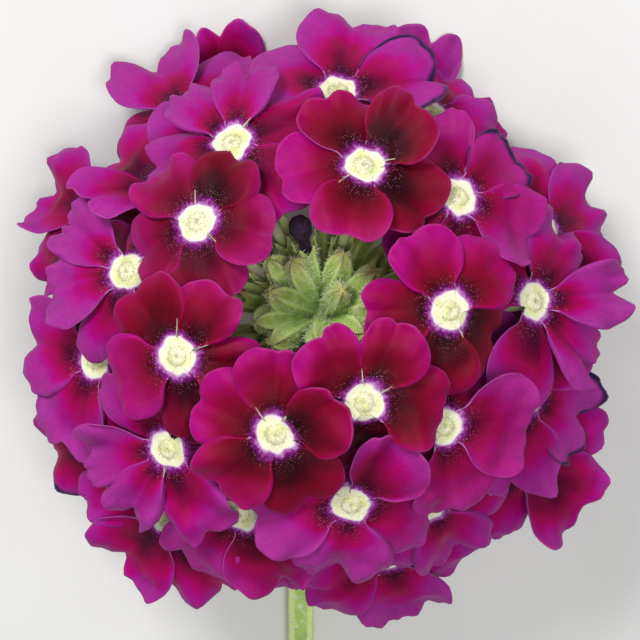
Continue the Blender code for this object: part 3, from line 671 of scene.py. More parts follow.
def tube_skin(skin, line, centre, normal, start, age):
    """The corolla tube, the flare under the petals and the mouth of the throat."""
    count = 20
    rings = []
    for i, at in enumerate(line):
        far, near = line[min(i + 1, len(line) - 1)], line[max(i - 1, 0)]
        rings.append(ring_at(at, far - near, 0.60 + 0.14 * i / (len(line) - 1), count, start))
    rims = ((1.0, 0.78), (0.6, 0.92), (0.32, 1.15), (0.16, 1.4), (0.04, 1.46), (-0.08, 1.38),
            (-0.13, 1.24), (-0.06, 1.14), (-0.16, 1.06), (-0.30, 0.92), (-0.40, 0.72),
            (-0.45, 0.48), (-0.42, 0.26), (-0.32, 0.12))
    for down, radius in rims:
        rings.append(ring_at(centre - normal * down, normal, radius, count, start))
    across, along = np.array(normal.cross(start)), np.array(start)
    ids = []
    for ring in rings:
        flat = ring - np.array(centre)
        uv = np.stack([flat @ across, flat @ along], axis=1) / 10.0
        ids.append(skin.add(ring, uv, (age, 0.5, 0.0, 0.1)))
    grid = np.array(ids)
    edge = len(rings) - 10
    skin.quads(grid[:edge + 1], look=1, closed=True)
    skin.quads(grid[edge:], closed=True)
    skin.cap(grid[0], line[0], (0, 0.05), (age, 0.5, 0, 0), 1, flip=True)
    skin.cap(grid[-1], centre + normal * 0.26, (0, 0), (age, 0.5, 0, 0))


# Materials

def new_sockets(tree, side, kind, *names):
    """Inputs or outputs of one kind for a group of nodes."""
    for name in names:
        tree.interface.new_socket(name, in_out=side, socket_type="NodeSocket" + kind)


class Graph:
    """Short ways to add and join shader nodes in one tree."""

    def __init__(self, tree):
        self.tree = tree

    def put(self, socket, value):
        """Joins a socket to another, or sets its value."""
        if isinstance(value, bpy.types.NodeSocket):
            self.tree.links.new(value, socket)
        elif value is not None:
            if hasattr(socket.default_value, "__len__") and not hasattr(value, "__len__"):
                value = (value,) * len(socket.default_value)
            if hasattr(value, "__len__") and len(value) == 3 and len(socket.default_value) == 4:
                value = (*value, 1.0)
            socket.default_value = value

    def add(self, kind, inputs=(), **settings):
        node = self.tree.nodes.new(kind)
        for key, value in settings.items():
            setattr(node, key, value)
        self.fill(node.inputs, inputs)
        return node

    def fill(self, sockets, values):
        for key, value in dict(values).items():
            self.put(sockets[key], value)

    def bumps(self, height, strength, distance):
        return self.add("ShaderNodeBump", {"Height": height, "Strength": strength,
                                           "Distance": distance}).outputs[0]

    def math(self, operation, a, b=None, clamp=False):
        node = self.add("ShaderNodeMath", operation=operation, use_clamp=clamp)
        self.put(node.inputs[0], a)
        if b is not None:
            self.put(node.inputs[1], b)
        return node.outputs[0]

    def times(self, a, b):
        return self.math("MULTIPLY", a, b)

    def plus(self, a, b):
        return self.math("ADD", a, b)

    def minus(self, a, b):
        return self.math("SUBTRACT", a, b)

    def sway(self, value, width):
        """A value from 0 to 1 as a change to both sides of nought."""
        return self.times(self.minus(value, 0.5), width)

    def tint(self, mask, weight, shade, other, blend="MIX"):
        """Another colour over a shade where a mask says, at most by a weight."""
        return self.mix(self.times(mask, weight), shade, other, blend)

    def place(self):
        return self.add("ShaderNodeTexCoord").outputs["Object"]

    def mix(self, factor, a, b, blend="MIX"):
        node = self.add("ShaderNodeMix", {0: factor, 6: a, 7: b}, data_type="RGBA", blend_type=blend)
        return node.outputs[2]

    def span(self, value, low, high, to_low=0.0, to_high=1.0):
        node = self.add("ShaderNodeMapRange",
                        {"Value": value, "From Min": low, "From Max": high, "To Min": to_low,
                         "To Max": to_high}, interpolation_type="SMOOTHSTEP")
        return node.outputs["Result"]

    def noise(self, vector, scale, detail=2.0, rough=0.5):
        node = self.add("ShaderNodeTexNoise",
                        {"Vector": vector, "Scale": scale, "Detail": detail, "Roughness": rough})
        return node.outputs["Fac"]

    def ramp(self, factor, *stops):
        """A band of colours; a stop is its place and its red, green and blue in 0 to 255."""
        node = self.add("ShaderNodeValToRGB")
        band = node.color_ramp
        while len(band.elements) < len(stops):
            band.elements.new(0.5)
        for element, (at, shade) in zip(band.elements, stops):
            element.position = at
            element.color = (*colour(*shade), 1.0)
        self.put(node.inputs[0], factor)
        return node.outputs[0]

    def join(self, x, y, z=0.0):
        return self.add("ShaderNodeCombineXYZ", {0: x, 1: y, 2: z}).outputs[0]


def petal_pattern():
    """Shader group: a petal's colours from its eye to its margin, its gloss and its relief."""
    tree = bpy.data.node_groups.new("Petal pattern", "ShaderNodeTree")
    new_sockets(tree, "INPUT", "Float", "Eye radius")
    new_sockets(tree, "INPUT", "Color", "Eye", "Halo", "Underside")
    new_sockets(tree, "OUTPUT", "Color", "Color")
    new_sockets(tree, "OUTPUT", "Float", "Roughness", "Height")
    g = Graph(tree)
    given = g.add("NodeGroupInput").outputs
    result = g.add("NodeGroupOutput").inputs
    uv = g.add("ShaderNodeUVMap", uv_map="petal").outputs[0]
    split = g.add("ShaderNodeSeparateXYZ", {"Vector": uv}).outputs
    across, along = g.times(split[0], 10.0), g.times(split[1], 10.0)
    radius = g.math("SQRT", g.plus(g.times(across, across), g.times(along, along)))
    angle = g.math("ARCTAN2", across, along)
    tone = g.add("ShaderNodeAttribute", attribute_name="tone")
    parts = g.add("ShaderNodeSeparateColor", {"Color": tone.outputs["Color"]}).outputs
    age, under, edge = parts[0], parts[2], tone.outputs["Alpha"]
    dried = g.math("GREATER_THAN", parts[1], 1.5)
    petal_brightness_and_shade = g.minus(parts[1], g.times(dried, 2.0))
    place = g.place()

    shift = g.times(petal_brightness_and_shade, 31.0)
    streak = g.noise(g.join(g.times(angle, 22.0), g.times(radius, 0.45), shift), 1.0, 3.0, 0.6)
    fine = g.noise(g.join(g.times(angle, 60.0), g.times(radius, 0.8), shift), 1.0, 2.0, 0.6)
    cloud = g.noise(place, 320.0, 2.0)
    broad = g.noise(place, 120.0, 1.0)

    soft = g.plus(edge, g.sway(streak, 0.26))
    soft = g.plus(soft, g.sway(cloud, 0.30))
    # Whole petals pushed darker or brighter by their brightness: partly their own tone, partly painted
    # shade on petals in shadow.
    push = g.times(g.minus(petal_brightness_and_shade, 0.5), g.span(edge, 0.15, 0.6))
    soft = g.plus(soft, g.times(push, 0.52))
    middle = g.times(g.span(g.math("ABSOLUTE", angle), 0.42, 0.0), g.plus(age, 0.3))
    soft = g.minus(soft, g.times(middle, 0.17))
    young = g.ramp(soft, (0.18, (34, 3, 12)), (0.32, (66, 4, 20)), (0.48, (104, 5, 30)),
                   (0.68, (132, 4, 46)), (0.84, (154, 3, 78)), (1.0, (166, 8, 114)))
    old = g.ramp(soft, (0.18, (70, 4, 40)), (0.28, (104, 4, 48)), (0.42, (144, 4, 68)),
                 (0.55, (164, 2, 92)), (0.66, (166, 8, 122)), (0.76, (162, 34, 136)), (1.0, (162, 50, 142)))
    blend = g.span(g.plus(age, g.sway(broad, 0.5)), 0.14, 0.66)
    shade = g.mix(blend, young, old)
    veins = g.span(streak, 0.38, 0.62)
    shade = g.tint(veins, 0.26, shade, (0.55, 0.45, 0.6), "MULTIPLY")

    velvet = g.span(g.noise(place, 2800.0, 2.0), 0.38, 0.62)
    shade = g.tint(velvet, 0.16, shade, (0.45, 0.4, 0.5), "MULTIPLY")

    wave = g.sway(fine, 0.9)
    lobe = g.sway(g.noise(place, 520.0, 1.0), 1.3)
    eye_edge = g.plus(given["Eye radius"], g.plus(g.times(wave, 0.45), lobe))
    away = g.minus(radius, eye_edge)
    wavy = g.plus(away, g.times(wave, 1.1))
    fuzz = g.sway(g.noise(place, 2400.0, 2.0), 1.2)
    halo = g.span(g.plus(wavy, fuzz), 1.15, 0.15)
    shade = g.tint(halo, 0.9, shade, given["Halo"])
    shade = g.tint(g.span(g.plus(wavy, fuzz), 0.50, -0.1), 0.75, shade, colour(196, 140, 200))

    dots = g.add("ShaderNodeTexVoronoi", {"Vector": place, "Scale": 5200.0})
    grain = g.math("GREATER_THAN", g.noise(place, 2600.0, 1.0), 0.49)
    speck = g.times(g.span(dots.outputs["Distance"], 0.36, 0.16), grain)
    near = g.span(g.plus(radius, g.sway(cloud, 3.0)), 4.8, 2.4)
    dust = g.mix(g.span(g.noise(place, 1800.0, 0.0), 0.50, 0.60),
                 colour(206, 120, 160), colour(158, 132, 96))
    shade = g.tint(g.times(speck, near), 0.62, shade, dust)

    eye = g.span(g.plus(away, g.times(wave, 0.4)), 0.16, -0.10)
    blotch = g.noise(place, 620.0, 2.0)
    patch = g.times(g.span(away, 0.0, -0.7), g.span(blotch, 0.46, 0.66))
    inside = g.mix(g.span(away, -0.30, 0.05), given["Eye"], colour(232, 216, 224))
    inside = g.tint(patch, 0.62, inside, colour(204, 212, 120))
    # Painted grey shade in broken arcs round the raised plug in the eye's middle.
    ring = g.span(g.math("ABSOLUTE", g.minus(radius, 1.05)), 0.16, 0.03)
    arcs = g.span(g.noise(place, 1500.0, 1.0), 0.54, 0.64)
    inside = g.tint(g.times(ring, arcs), 0.14, inside, colour(120, 116, 112))
    # Grey-green dashes among the throat hairs: partly their own colour, partly painted shade.
    inner = g.span(g.noise(place, 2600.0, 2.0), 0.54, 0.66)
    inside = g.tint(g.times(inner, g.span(radius, 1.2, 0.3)), 0.5, inside, colour(156, 164, 112))
    # Painted shade in the mouth of the throat at the eye's very middle.
    hollow = g.plus(radius, g.sway(blotch, 1.2))
    inside = g.tint(g.span(hollow, 0.34, 0.06), 0.42, inside, colour(112, 120, 66))
    shade = g.mix(eye, shade, inside)

    back = g.tint(veins, 0.45, given["Underside"], colour(112, 30, 96))
    back = g.mix(g.span(radius, 4.5, 1.5), back, colour(190, 150, 195))
    shade = g.mix(under, shade, back)
    tips = g.plus(edge, g.sway(cloud, 0.25))
    shade = g.mix(g.times(dried, g.span(tips, 0.90, 0.97)), shade, colour(26, 24, 62))
    rim = g.span(edge, 0.965, 1.0)
    shade = g.tint(rim, 0.22, shade, colour(200, 90, 170))

    relief = g.plus(g.times(streak, 0.6), g.times(fine, 0.25))
    relief = g.plus(relief, g.times(g.noise(place, 5200.0, 1.0), 0.35))
    relief = g.plus(relief, g.times(g.times(eye, g.noise(place, 1300.0, 1.0)), 2.2))
    g.fill(result, {"Color": shade, "Roughness": g.plus(g.times(cloud, 0.18), 0.42),
                    "Height": relief})
    return tree


def new_material(name):
    """A material, its nodes and its shader."""
    made = bpy.data.materials.new(name)
    made.use_nodes = True
    return made, Graph(made.node_tree), made.node_tree.nodes["Principled BSDF"]


def petal_material(name, pattern, settings):
    """A dull petal with a soft sheen, coloured by the petal pattern."""
    made, g, shader = new_material(name)
    group = g.add("ShaderNodeGroup", node_tree=pattern)
    g.fill(group.inputs, {"Eye radius": settings.eye_radius / MM, "Eye": tuple(settings.eye_colour),
                          "Halo": tuple(settings.halo_colour),
                          "Underside": tuple(settings.underside_colour)})
    g.fill(shader.inputs, {"Base Color": group.outputs["Color"],
                           "Roughness": group.outputs["Roughness"],
                           "Normal": g.bumps(group.outputs["Height"], 0.35, 0.00012),
                           "Sheen Weight": 0.07, "Sheen Roughness": 0.35,
                           "Sheen Tint": colour(196, 80, 150), "Specular IOR Level": 0.07})
    return made


def plain_material(name, shade, roughness, spread=None, scale=400.0, bump=0.0):
    """A finish with a soft change of colour and a fine grain."""
    made, g, shader = new_material(name)
    place = g.place()
    cloud = g.noise(place, scale, 3.0)
    g.fill(shader.inputs, {"Base Color": g.mix(g.span(cloud, 0.35, 0.65), shade, spread or shade),
                           "Roughness": roughness})
    if bump:
        g.put(shader.inputs["Normal"], g.bumps(g.noise(place, scale * 6, 2.0), bump, 0.0001))
    return made


def green_material(name, light, dark, tip):
    """Calyx and stem: ribs lighter, furrows darker with painted shade, teeth touched with red, fine grain.
    """
    made, g, shader = new_material(name)
    place = g.place()
    tone = g.add("ShaderNodeAttribute", attribute_name="tone")
    parts = g.add("ShaderNodeSeparateColor", {"Color": tone.outputs["Color"]}).outputs
    rib, redness = parts[0], parts[2]
    cloud = g.noise(place, 420.0, 3.0)
    # The furrow colour is painted shade in the grooves; the rib value blends from it to the rib colour.
    shade = g.mix(g.math("ADD", g.times(rib, 0.65), g.times(cloud, 0.4), True), dark, light)
    shade = g.mix(g.span(g.noise(place, 1500.0, 2.0), 0.5, 0.72), shade, colour(222, 236, 190))
    # A deeper green in the furrows: more painted shade there.
    deep = g.times(g.span(rib, 0.5, 0.0), g.span(g.noise(place, 500.0, 2.0), 0.3, 0.8))
    shade = g.tint(deep, 0.6, shade, colour(116, 156, 64))
    shade = g.mix(g.times(redness, g.span(cloud, 0.3, 0.6, 0.5, 1.0)), shade, tip)
    g.fill(shader.inputs, {"Base Color": shade, "Roughness": 0.55, "Sheen Weight": 0.15,
                           "Normal": g.bumps(g.noise(place, 2400.0, 2.0), 0.3, 0.0001)})
    return made


# Green parts and the bud

def ribbed_skin(skin, root, tip, closed, rng):
    """A calyx with five ribs ending in five pointed teeth, open for its tube or closed."""
    count, rows = 40, 22
    root, tip = np.array(root), np.array(tip)
    ahead = tip - root
    length = np.linalg.norm(ahead)
    ahead = ahead / length
    start = np.array((1.0, 0.0, 0.0)) if abs(ahead[0]) < 0.8 else np.array((0.0, 1.0, 0.0))
    one = start - ahead * start.dot(ahead)
    one /= np.linalg.norm(one)
    two = np.cross(ahead, one)
    turn = 2 * math.pi * np.arange(count) / count
    from_rib = np.abs(((turn * 5 / (2 * math.pi)) + 0.5) % 1.0 - 0.5) * 2
    tooth = (1 - from_rib) ** 1.2
    rib = np.exp(-(from_rib / 0.28) ** 2)
    s = np.linspace(0, 1, rows)[:, None]
    if closed:
        radius = np.interp(s, (0, 0.1, 0.35, 0.6, 0.84, 0.94, 1.0),
                           (0.5, 0.72, 1.24, 1.52, 1.54, 1.16, 0.46))
        reach = (1 - 0.03 + 0.04 * tooth[None, :]) * length
        furrow = 0.15 + 0.10 * np.clip((s - 0.75) / 0.25, 0, 1)
    else:
        radius = np.interp(s, (0, 0.1, 0.4, 0.75, 0.92, 1.0), (0.55, 0.70, 1.02, 1.26, 1.34, 1.44))
        reach = length * (1 - 0.12 * (1 - tooth[None, :]))
        furrow = 0.12
    radius = radius * (1 - furrow * (1 - rib[None, :]))
    radius = radius + 0.05 * np.sin(9 * s + rng.uniform(0, 6))
    place = (root + ahead * (s * reach)[..., None]
             + (one * np.cos(turn)[:, None] + two * np.sin(turn)[:, None])[None] * radius[..., None])
    red = np.clip((s - 0.78) / 0.20, 0, 1) ** 1.5 * (0.35 + 0.65 * tooth[None, :]) * rng.uniform(0.3, 1.0)
    # The rib value gives the furrows between the ribs the furrow colour, painted shade.
    tone = side_by_side(radius.shape, rib, s, red, rng.uniform(0, 1))
    uv = side_by_side(radius.shape, turn / 6.3, s)
    grid = skin.add(place.reshape(-1, 3), uv.reshape(-1, 2), tone.reshape(-1, 4)).reshape(radius.shape)
    skin.quads(grid, closed=True)
    skin.cap(grid[0], root - ahead * 0.2, (0, 0), (0, 0, 0, 0.5), flip=True)
    if closed:
        skin.cap(grid[-1], root + ahead * (length * 0.985), (0, 1), (0.3, 1, 0.4, 0.5))
        return
    inner = []
    for down, narrow in ((0.02, 0.90), (0.9, 0.88), (1.9, 0.80)):
        points = place[-1] - ahead * down
        middle = root + ahead * ((points - root) @ ahead)[:, None]
        points = middle + (points - middle) * narrow
        inner.append(skin.add(points, (0, 1), (0.2, 1, 0, 0.5)))
    skin.quads(np.array([grid[-1], *inner]), closed=True)
    skin.cap(inner[-1], root + ahead * (length - 3.0), (0, 1), (0, 1, 0, 0.5))


def bract_skin(skin, root, ahead, length, width, rng):
    """A narrow pointed bract from a root, bending away from the head's axis."""
    root, ahead, axis = np.array(root), np.array(ahead), np.array(AXIS)
    out = ahead * ahead.dot(axis) - axis
    out /= np.linalg.norm(out)
    side = np.cross(out, ahead)
    s = np.linspace(0, 1, 11)[:, None]
    x = np.linspace(-1, 1, 7)[None, :]
    wide = width * 1.55 * (s + 0.1) ** 0.5 * (1.02 - s) ** 0.8
    away = 1.2 + rng.uniform(0.6, 1.8) * s ** 2 - 0.35 * wide * x ** 2
    sway = wide * x + rng.uniform(-0.8, 0.8) * s ** 2
    sheet = (root + ahead * (1.0 + length * s + 0 * x)[..., None] + out * away[..., None]
             + side * sway[..., None])
    # The midrib takes the rib colour and the sides the furrow colour, painted shade.
    tone = np.stack([1 - 0.7 * np.abs(x) + 0 * s, s + 0 * x, 0 * s * x, 0.5 + 0 * s * x], -1)
    closed_sheet(skin, sheet, 0.11, np.stack([x + 0 * s, s + 0 * x], -1) / 10.0, (tone, tone))


def lower_bracts(skin, rng, count=15):
    """The ring of longer bracts low on the rachis, seen between the calyces."""
    around = AXIS.cross(RIGHT).normalized()
    for k in range(count):
        out = turned(around, AXIS, 360.0 * k / count + rng.uniform(-8, 8))
        ahead = (AXIS * 0.55 + out).normalized()
        bract_skin(skin, CENTRE + AXIS * rng.uniform(0.5, 3.0), ahead, rng.uniform(11.0, 13.5),
                   rng.uniform(1.2, 1.7), rng)


def drift(y):
    share = min(max((y - 4.0) / 40.0, 0.0), 1.0)
    return STEM_DRIFT * share * share * (3 - 2 * share)


def stem_line():
    """From the rachis top down the head's axis, round the bend and along the surface."""
    apothem = STEM_RADIUS * cos(math.pi / 8)
    points, radii = [], []
    for along, radius in ((RACHIS_TOP, 0.5), (RACHIS_TOP - 0.2, 1.1), (RACHIS_TOP - 0.9, 1.6),
                          (RACHIS_TOP - 2.5, 1.9), (4.0, 1.95), (2.0, 1.95), (0.0, 1.85), (-2.5, 1.7)):
        points.append(CENTRE + AXIS * along)
        radii.append(radius)
    bend_drop = STEM_BEND_RADIUS * (1 - cos(rad(FACE_ELEVATION)))
    straight = (CENTRE.z - apothem - bend_drop) / sin(rad(FACE_ELEVATION))
    begin = CENTRE - AXIS * straight
    pivot = begin + Vector((0, sin(rad(FACE_ELEVATION)), cos(rad(FACE_ELEVATION)))) * STEM_BEND_RADIUS
    for k in range(0, 19):
        a = FACE_ELEVATION * (1 - k / 18)
        at = pivot - Vector((0, sin(rad(a)), cos(rad(a)))) * STEM_BEND_RADIUS
        at.x = drift(at.y)
        points.append(at)
        radii.append(1.62)
    last = points[-1].y
    for k in range(1, 31):
        y = last + (STEM_END_Y - last) * k / 30
        points.append(Vector((drift(y), y, apothem)))
        radii.append(1.60)
    return points, radii


def stem_skin(skin):
    """The four-angled stem with grooved sides, from the rachis to its cut end."""
    points, radii = stem_line()
    count = 32
    turn = 2 * math.pi * np.arange(count) / count
    power = 3.2
    square = (np.abs(np.cos(turn)) ** power + np.abs(np.sin(turn)) ** power) ** (-1 / power)
    groove = 1 - 0.05 * np.clip(np.cos(4 * turn), 0, 1) ** 2
    # The angles take the rib colour and the grooved flats the furrow colour, painted shade.
    corner = np.clip(-np.cos(4 * turn), 0, 1)
    rows = []
    for i, at in enumerate(points):
        ahead = points[min(i + 1, len(points) - 1)] - points[max(i - 1, 0)]
        angled = min(max((i - 5) / 4.0, 0.0), 1.0)
        shape = (1 - angled) + angled * square * groove
        wave = 1 + 0.012 * sin(i * 0.9) + 0.01 * sin(i * 0.37 + 1.3)
        ring = ring_at(at, ahead, radii[i] * shape * (wave if i > 8 else 1.0), count, (1.0, 0.0, 0.0))
        ring[:, 2] = np.maximum(ring[:, 2], 0.01)
        tone = side_by_side(count, corner, i / len(points), 0.0, 0.5)
        uv = side_by_side(count, turn / 6.3, i * 0.1)
        rows.append(skin.add(ring, uv, tone))
    grid = np.array(rows)
    skin.quads(grid, closed=True)
    skin.cap(grid[0], points[0] + AXIS * 0.15, (0, 0), (0.5, 0, 0, 0.5), flip=True)
    end = points[-1]
    ring = ring_at(end, Vector((0, 1, 0)), 1.0 * square, count, (1.0, 0.0, 0.0))
    pith = skin.add(ring, (0, 0), (0.2, 1, 0, 0.5))
    skin.quads(np.array([grid[-1], pith]), closed=True)
    skin.cap(pith, np.array(end) - np.array((0, 0.25, 0)), (0, 0), (1, 1, 0, 0.5), 1)


def bud_skin(skin):
    """The closed corolla: a short tube and a ball of petals folded over each other."""
    root, tip = young_path(BUD)
    ahead = (tip - root).normalized()
    count, rows = 40, 22
    reach = np.linspace(-1.2, 3.75, rows)
    radius = np.interp(reach, (-1.2, 0.5, 1.0, 1.8, 2.7, 3.3, 3.75),
                       (0.6, 0.68, 0.95, 1.22, 1.2, 0.85, 0.3))
    start = Vector((1.0, 0.0, 0.0))
    rows_made = []
    for i in range(rows):
        turn = 2 * math.pi * np.arange(count) / count + 0.5 * reach[i]
        step = (turn * 5 / (2 * math.pi)) % 1.0
        over = 1 + (0.14 * (step - 0.5)) * np.clip((reach[i] - 0.4) / 1.0, 0, 1)
        ring = ring_at(tip + ahead * reach[i], ahead, radius[i] * over, count, start)
        tone = side_by_side(count, 0.0, step, 0.0, 0.5)
        rows_made.append(skin.add(ring, (0, 0), tone))
    grid = np.array(rows_made)
    skin.quads(grid, closed=True)
    skin.cap(grid[0], tip + ahead * -1.25, (0, 0), (0, 0, 0, 0), flip=True)
    skin.cap(grid[-1], tip + ahead * 3.8, (0, 0), (0, 0, 0, 0))


# Hairs

def hair_tree():
    """Geometry nodes: short tapered hairs scattered over a surface, leaning at random."""
    tree = bpy.data.node_groups.new("Hairs on a surface", "GeometryNodeTree")
    new_sockets(tree, "INPUT", "Geometry", "Geometry")
    new_sockets(tree, "INPUT", "Float", "Density", "Length", "Width", "Lean")
    new_sockets(tree, "INPUT", "Int", "Seed")
    new_sockets(tree, "INPUT", "Material", "Material")
    new_sockets(tree, "OUTPUT", "Geometry", "Geometry")
    g = Graph(tree)
    given = g.add("NodeGroupInput").outputs
    scatter = g.add("GeometryNodeDistributePointsOnFaces",
                    {"Mesh": given["Geometry"], "Density": given["Density"], "Seed": given["Seed"]},
                    distribute_method="RANDOM").outputs
    hair = g.add("GeometryNodeMeshCone",
                 {"Vertices": 4, "Side Segments": 2, "Radius Top": 0.0, "Radius Bottom": given["Width"],
                  "Depth": given["Length"]}, fill_type="NGON")
    lean = g.add("FunctionNodeRandomValue", {"Min": (-1.0, -1.0, -1.0), "Max": (1.0, 1.0, 1.0)},
                 data_type="FLOAT_VECTOR")
    scale = g.add("ShaderNodeVectorMath", operation="SCALE")
    g.put(scale.inputs[0], lean.outputs[0])
    g.put(scale.inputs["Scale"], given["Lean"])
    way = g.add("ShaderNodeVectorMath", {0: scatter["Normal"], 1: scale.outputs[0]}, operation="ADD")
    turn = g.add("FunctionNodeAlignRotationToVector", {"Vector": way.outputs[0]}, axis="Z")
    size = g.add("FunctionNodeRandomValue", {2: 0.55, 3: 1.25}, data_type="FLOAT")
    place = g.add("GeometryNodeInstanceOnPoints",
                  {"Points": scatter["Points"], "Instance": hair.outputs["Mesh"],
                   "Rotation": turn.outputs[0], "Scale": size.outputs[1]})
    real = g.add("GeometryNodeRealizeInstances", {0: place.outputs[0]})
    finish = g.add("GeometryNodeSetMaterial",
                   {"Geometry": real.outputs[0], "Material": given["Material"]})
    g.add("NodeGroupOutput", {0: finish.outputs[0]})
    return tree


def grown_hairs(name, mesh, tree, values):
    """Runs the hair nodes on a mesh and keeps the hairs alone as a plain mesh."""
    carrier = shown(name + "_bed", mesh)
    grow = carrier.modifiers.new("hairs", "NODES")
    grow.node_group = tree
    for socket in tree.interface.items_tree:
        if socket.in_out == "INPUT" and socket.name in values:
            grow[socket.identifier] = values[socket.name]
    bpy.context.view_layer.update()
    seen = carrier.evaluated_get(bpy.context.evaluated_depsgraph_get())
    hairs = bpy.data.meshes.new_from_object(seen)
    carrier.modifiers.remove(grow)
    bpy.data.objects.remove(carrier)
    hairs.name = name
    flat = np.zeros(len(hairs.vertices) * 3)
    hairs.vertices.foreach_get("co", flat)
    flat[2::3] = np.maximum(flat[2::3], 0.0)
    hairs.vertices.foreach_set("co", flat)
    if len(hairs.polygons) == 0:
        raise RuntimeError("no hairs grew on " + name)
    hairs.polygons.foreach_set("use_smooth", [True] * len(hairs.polygons))
    return shown(name, hairs)


# Settings, operators and panel

def length_setting(name, words, default, low, high):
    """A length in metres that a user can change."""
    return bpy.props.FloatProperty(name=name, description=words, default=default, min=low, max=high,
                                   unit="LENGTH", precision=5)


def colour_setting(name, words, default):
    """A colour that a user can change."""
    return bpy.props.FloatVectorProperty(name=name, description=words, subtype="COLOR", size=3,
                                         default=default)


class VerbenaPetals(bpy.types.PropertyGroup):
    thickness: length_setting("Petal thickness", "Thickness of a petal at its middle",
                              0.00022, 0.0001, 0.0006)
    eye_radius: length_setting("Eye radius", "Radius of the white eye of a floret",
                               0.0020, 0.001, 0.004)
    eye_colour: colour_setting("Eye", "Colour of the eye", colour(232, 229, 196))
    halo_colour: colour_setting("Halo", "Colour of the fuzzy ring round the eye", colour(132, 26, 128))
    underside_colour: colour_setting("Underside", "Colour of a petal's back", colour(152, 66, 140))


class VerbenaGreen(bpy.types.PropertyGroup):
    hair_length: length_setting("Hair length", "Length of a hair on calyx and stem",
                                0.00050, 0.0001, 0.002)
    hair_density: bpy.props.FloatProperty(
        name="Hair density", description="Hairs on a square metre of green surface",
        default=2.6e6, min=0.0)
    light: colour_setting("Ribs", "Colour of ribs and teeth", colour(238, 252, 166))
    # The furrow colour is painted shade between the ribs.
    dark: colour_setting("Furrows", "Colour between the ribs", colour(180, 212, 94))


class VerbenaStage(bpy.types.PropertyGroup):
    distance: bpy.props.FloatProperty(
        name="Camera distance", description="Camera to the middle of the head",
        default=0.300, min=0.1, unit="LENGTH", subtype="DISTANCE")
    pixel: bpy.props.FloatProperty(
        name="Size of a pixel", description="Width at the head that one of 640 pixels covers",
        default=0.000113, min=0.00001, unit="LENGTH", precision=6)
    floor: colour_setting("Floor", "Colour of the floor", (0.78, 0.77, 0.75))


def look_for(row):
    """A floret's material: crimson round the head's middle, else magenta, and purple with age."""
    if row[0] <= "floret_06":
        return "petal_crimson"
    return "petal_magenta" if row[8] <= 0.6 else "petal_purple"


def cleared(name):
    """Takes away a piece left by an earlier run of its operator."""
    found = bpy.data.objects.get(name)
    if found:
        bpy.data.objects.remove(found, do_unlink=True)


class VERBENA_OT_florets(bpy.types.Operator):
    """Make the thirty open florets: petals, eye, throat and tube"""
    bl_idname = "verbena.florets"
    bl_label = "Florets"

    def execute(self, context):
        settings = context.scene.verbena_petals
        pattern = petal_pattern()
        looks = {slot: petal_material(slot, pattern, settings)
                 for slot in ("petal_crimson", "petal_magenta", "petal_purple")}
        tube = plain_material("corolla_tube", colour(190, 204, 142), 0.5, colour(170, 160, 140), 500.0, 0.2)
        beds = Skin()
        folds = Skin()
        trees, crossed = [], 0
        for number, row in enumerate(FLORETS):
            rng = draws("floret", number)
            centre, normal, petals = placed_petals(row)
            line = floret_path(row)[2]
            skin = Skin()
            slopes = [(petal["line"][1][0] - centre).dot(normal) / petal["length"] for petal in petals]
            rises = [[0, 0] for _ in range(5)]
            for k in range(5):
                after = (k + 1) % 5
                gap = slopes[k] - slopes[after]
                above = gap > 0 if abs(gap) > 0.03 else rng.uniform() > 0.5
                rises[k][0] = 1 if above else -1
                rises[after][1] = -1 if above else 1
            new_trees = []
            for k, (petal, rise) in enumerate(zip(petals, rises)):
                crossings, made, tree = laid_petal(number, k, row, centre, normal, petal, rise, trees)
                crossed += crossings > 0
                new_trees.append(tree)
                # A petal's brightness: for the inner florets from SHADES, partly painted shade; for the
                # rest a random tone.
                shade = SHADES[row[0]][k] if row[0] in SHADES else rng.uniform(0.1, 0.9)
                petal_skin(skin, made, row[8], shade + (2.0 if (row[0], k) in DRIED else 0.0),
                           settings.thickness)
            trees += new_trees
            if row[0] in PARTINGS:
                for k in PARTINGS[row[0]]:
                    parting_fold(folds, centre, normal, petals[k], petals[(k + 1) % 5], rng)
            tube_skin(skin, line, centre, normal, petals[0]["along"], row[8])
            name = row[0] + "_corolla"
            cleared(name)
            piece = skin.made(name, [looks[look_for(row)], tube])
            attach(piece, "root")
            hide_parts(row[0])
            look_for(row)
            rings = []
            for height, wide in ((0.10, 1.22), (0.28, 0.94), (0.40, 0.66), (0.40, 0.30)):
                ring = ring_at(centre + normal * height, normal, wide, 12, petals[0]["along"])
                rings.append(beds.add(ring, (0, 0), (0, 0, 0, 0)))
            beds.quads(np.array(rings), closed=True)
        print("petals that still cross another floret's:", crossed)
        pale = plain_material("parting_fold", colour(196, 196, 158), 0.6, colour(150, 140, 120), 900.0)
        cleared("parting_folds")
        piece = folds.made("parting_folds", [pale])
        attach(piece, "root")
        carrier = beds.made("throat_bed", [])
        white = plain_material("throat_hair", colour(236, 234, 212), 0.55, colour(214, 218, 176), 900.0)
        hairs = grown_hairs("throat_hairs", carrier.data, hair_tree(),
                            {"Density": 3.4e7, "Length": 0.00034, "Width": 0.00003, "Lean": 1.3,
                             "Seed": SEEDS["throat hairs"], "Material": white})
        bpy.data.objects.remove(carrier)
        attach(hairs, "root")
        return {"FINISHED"}


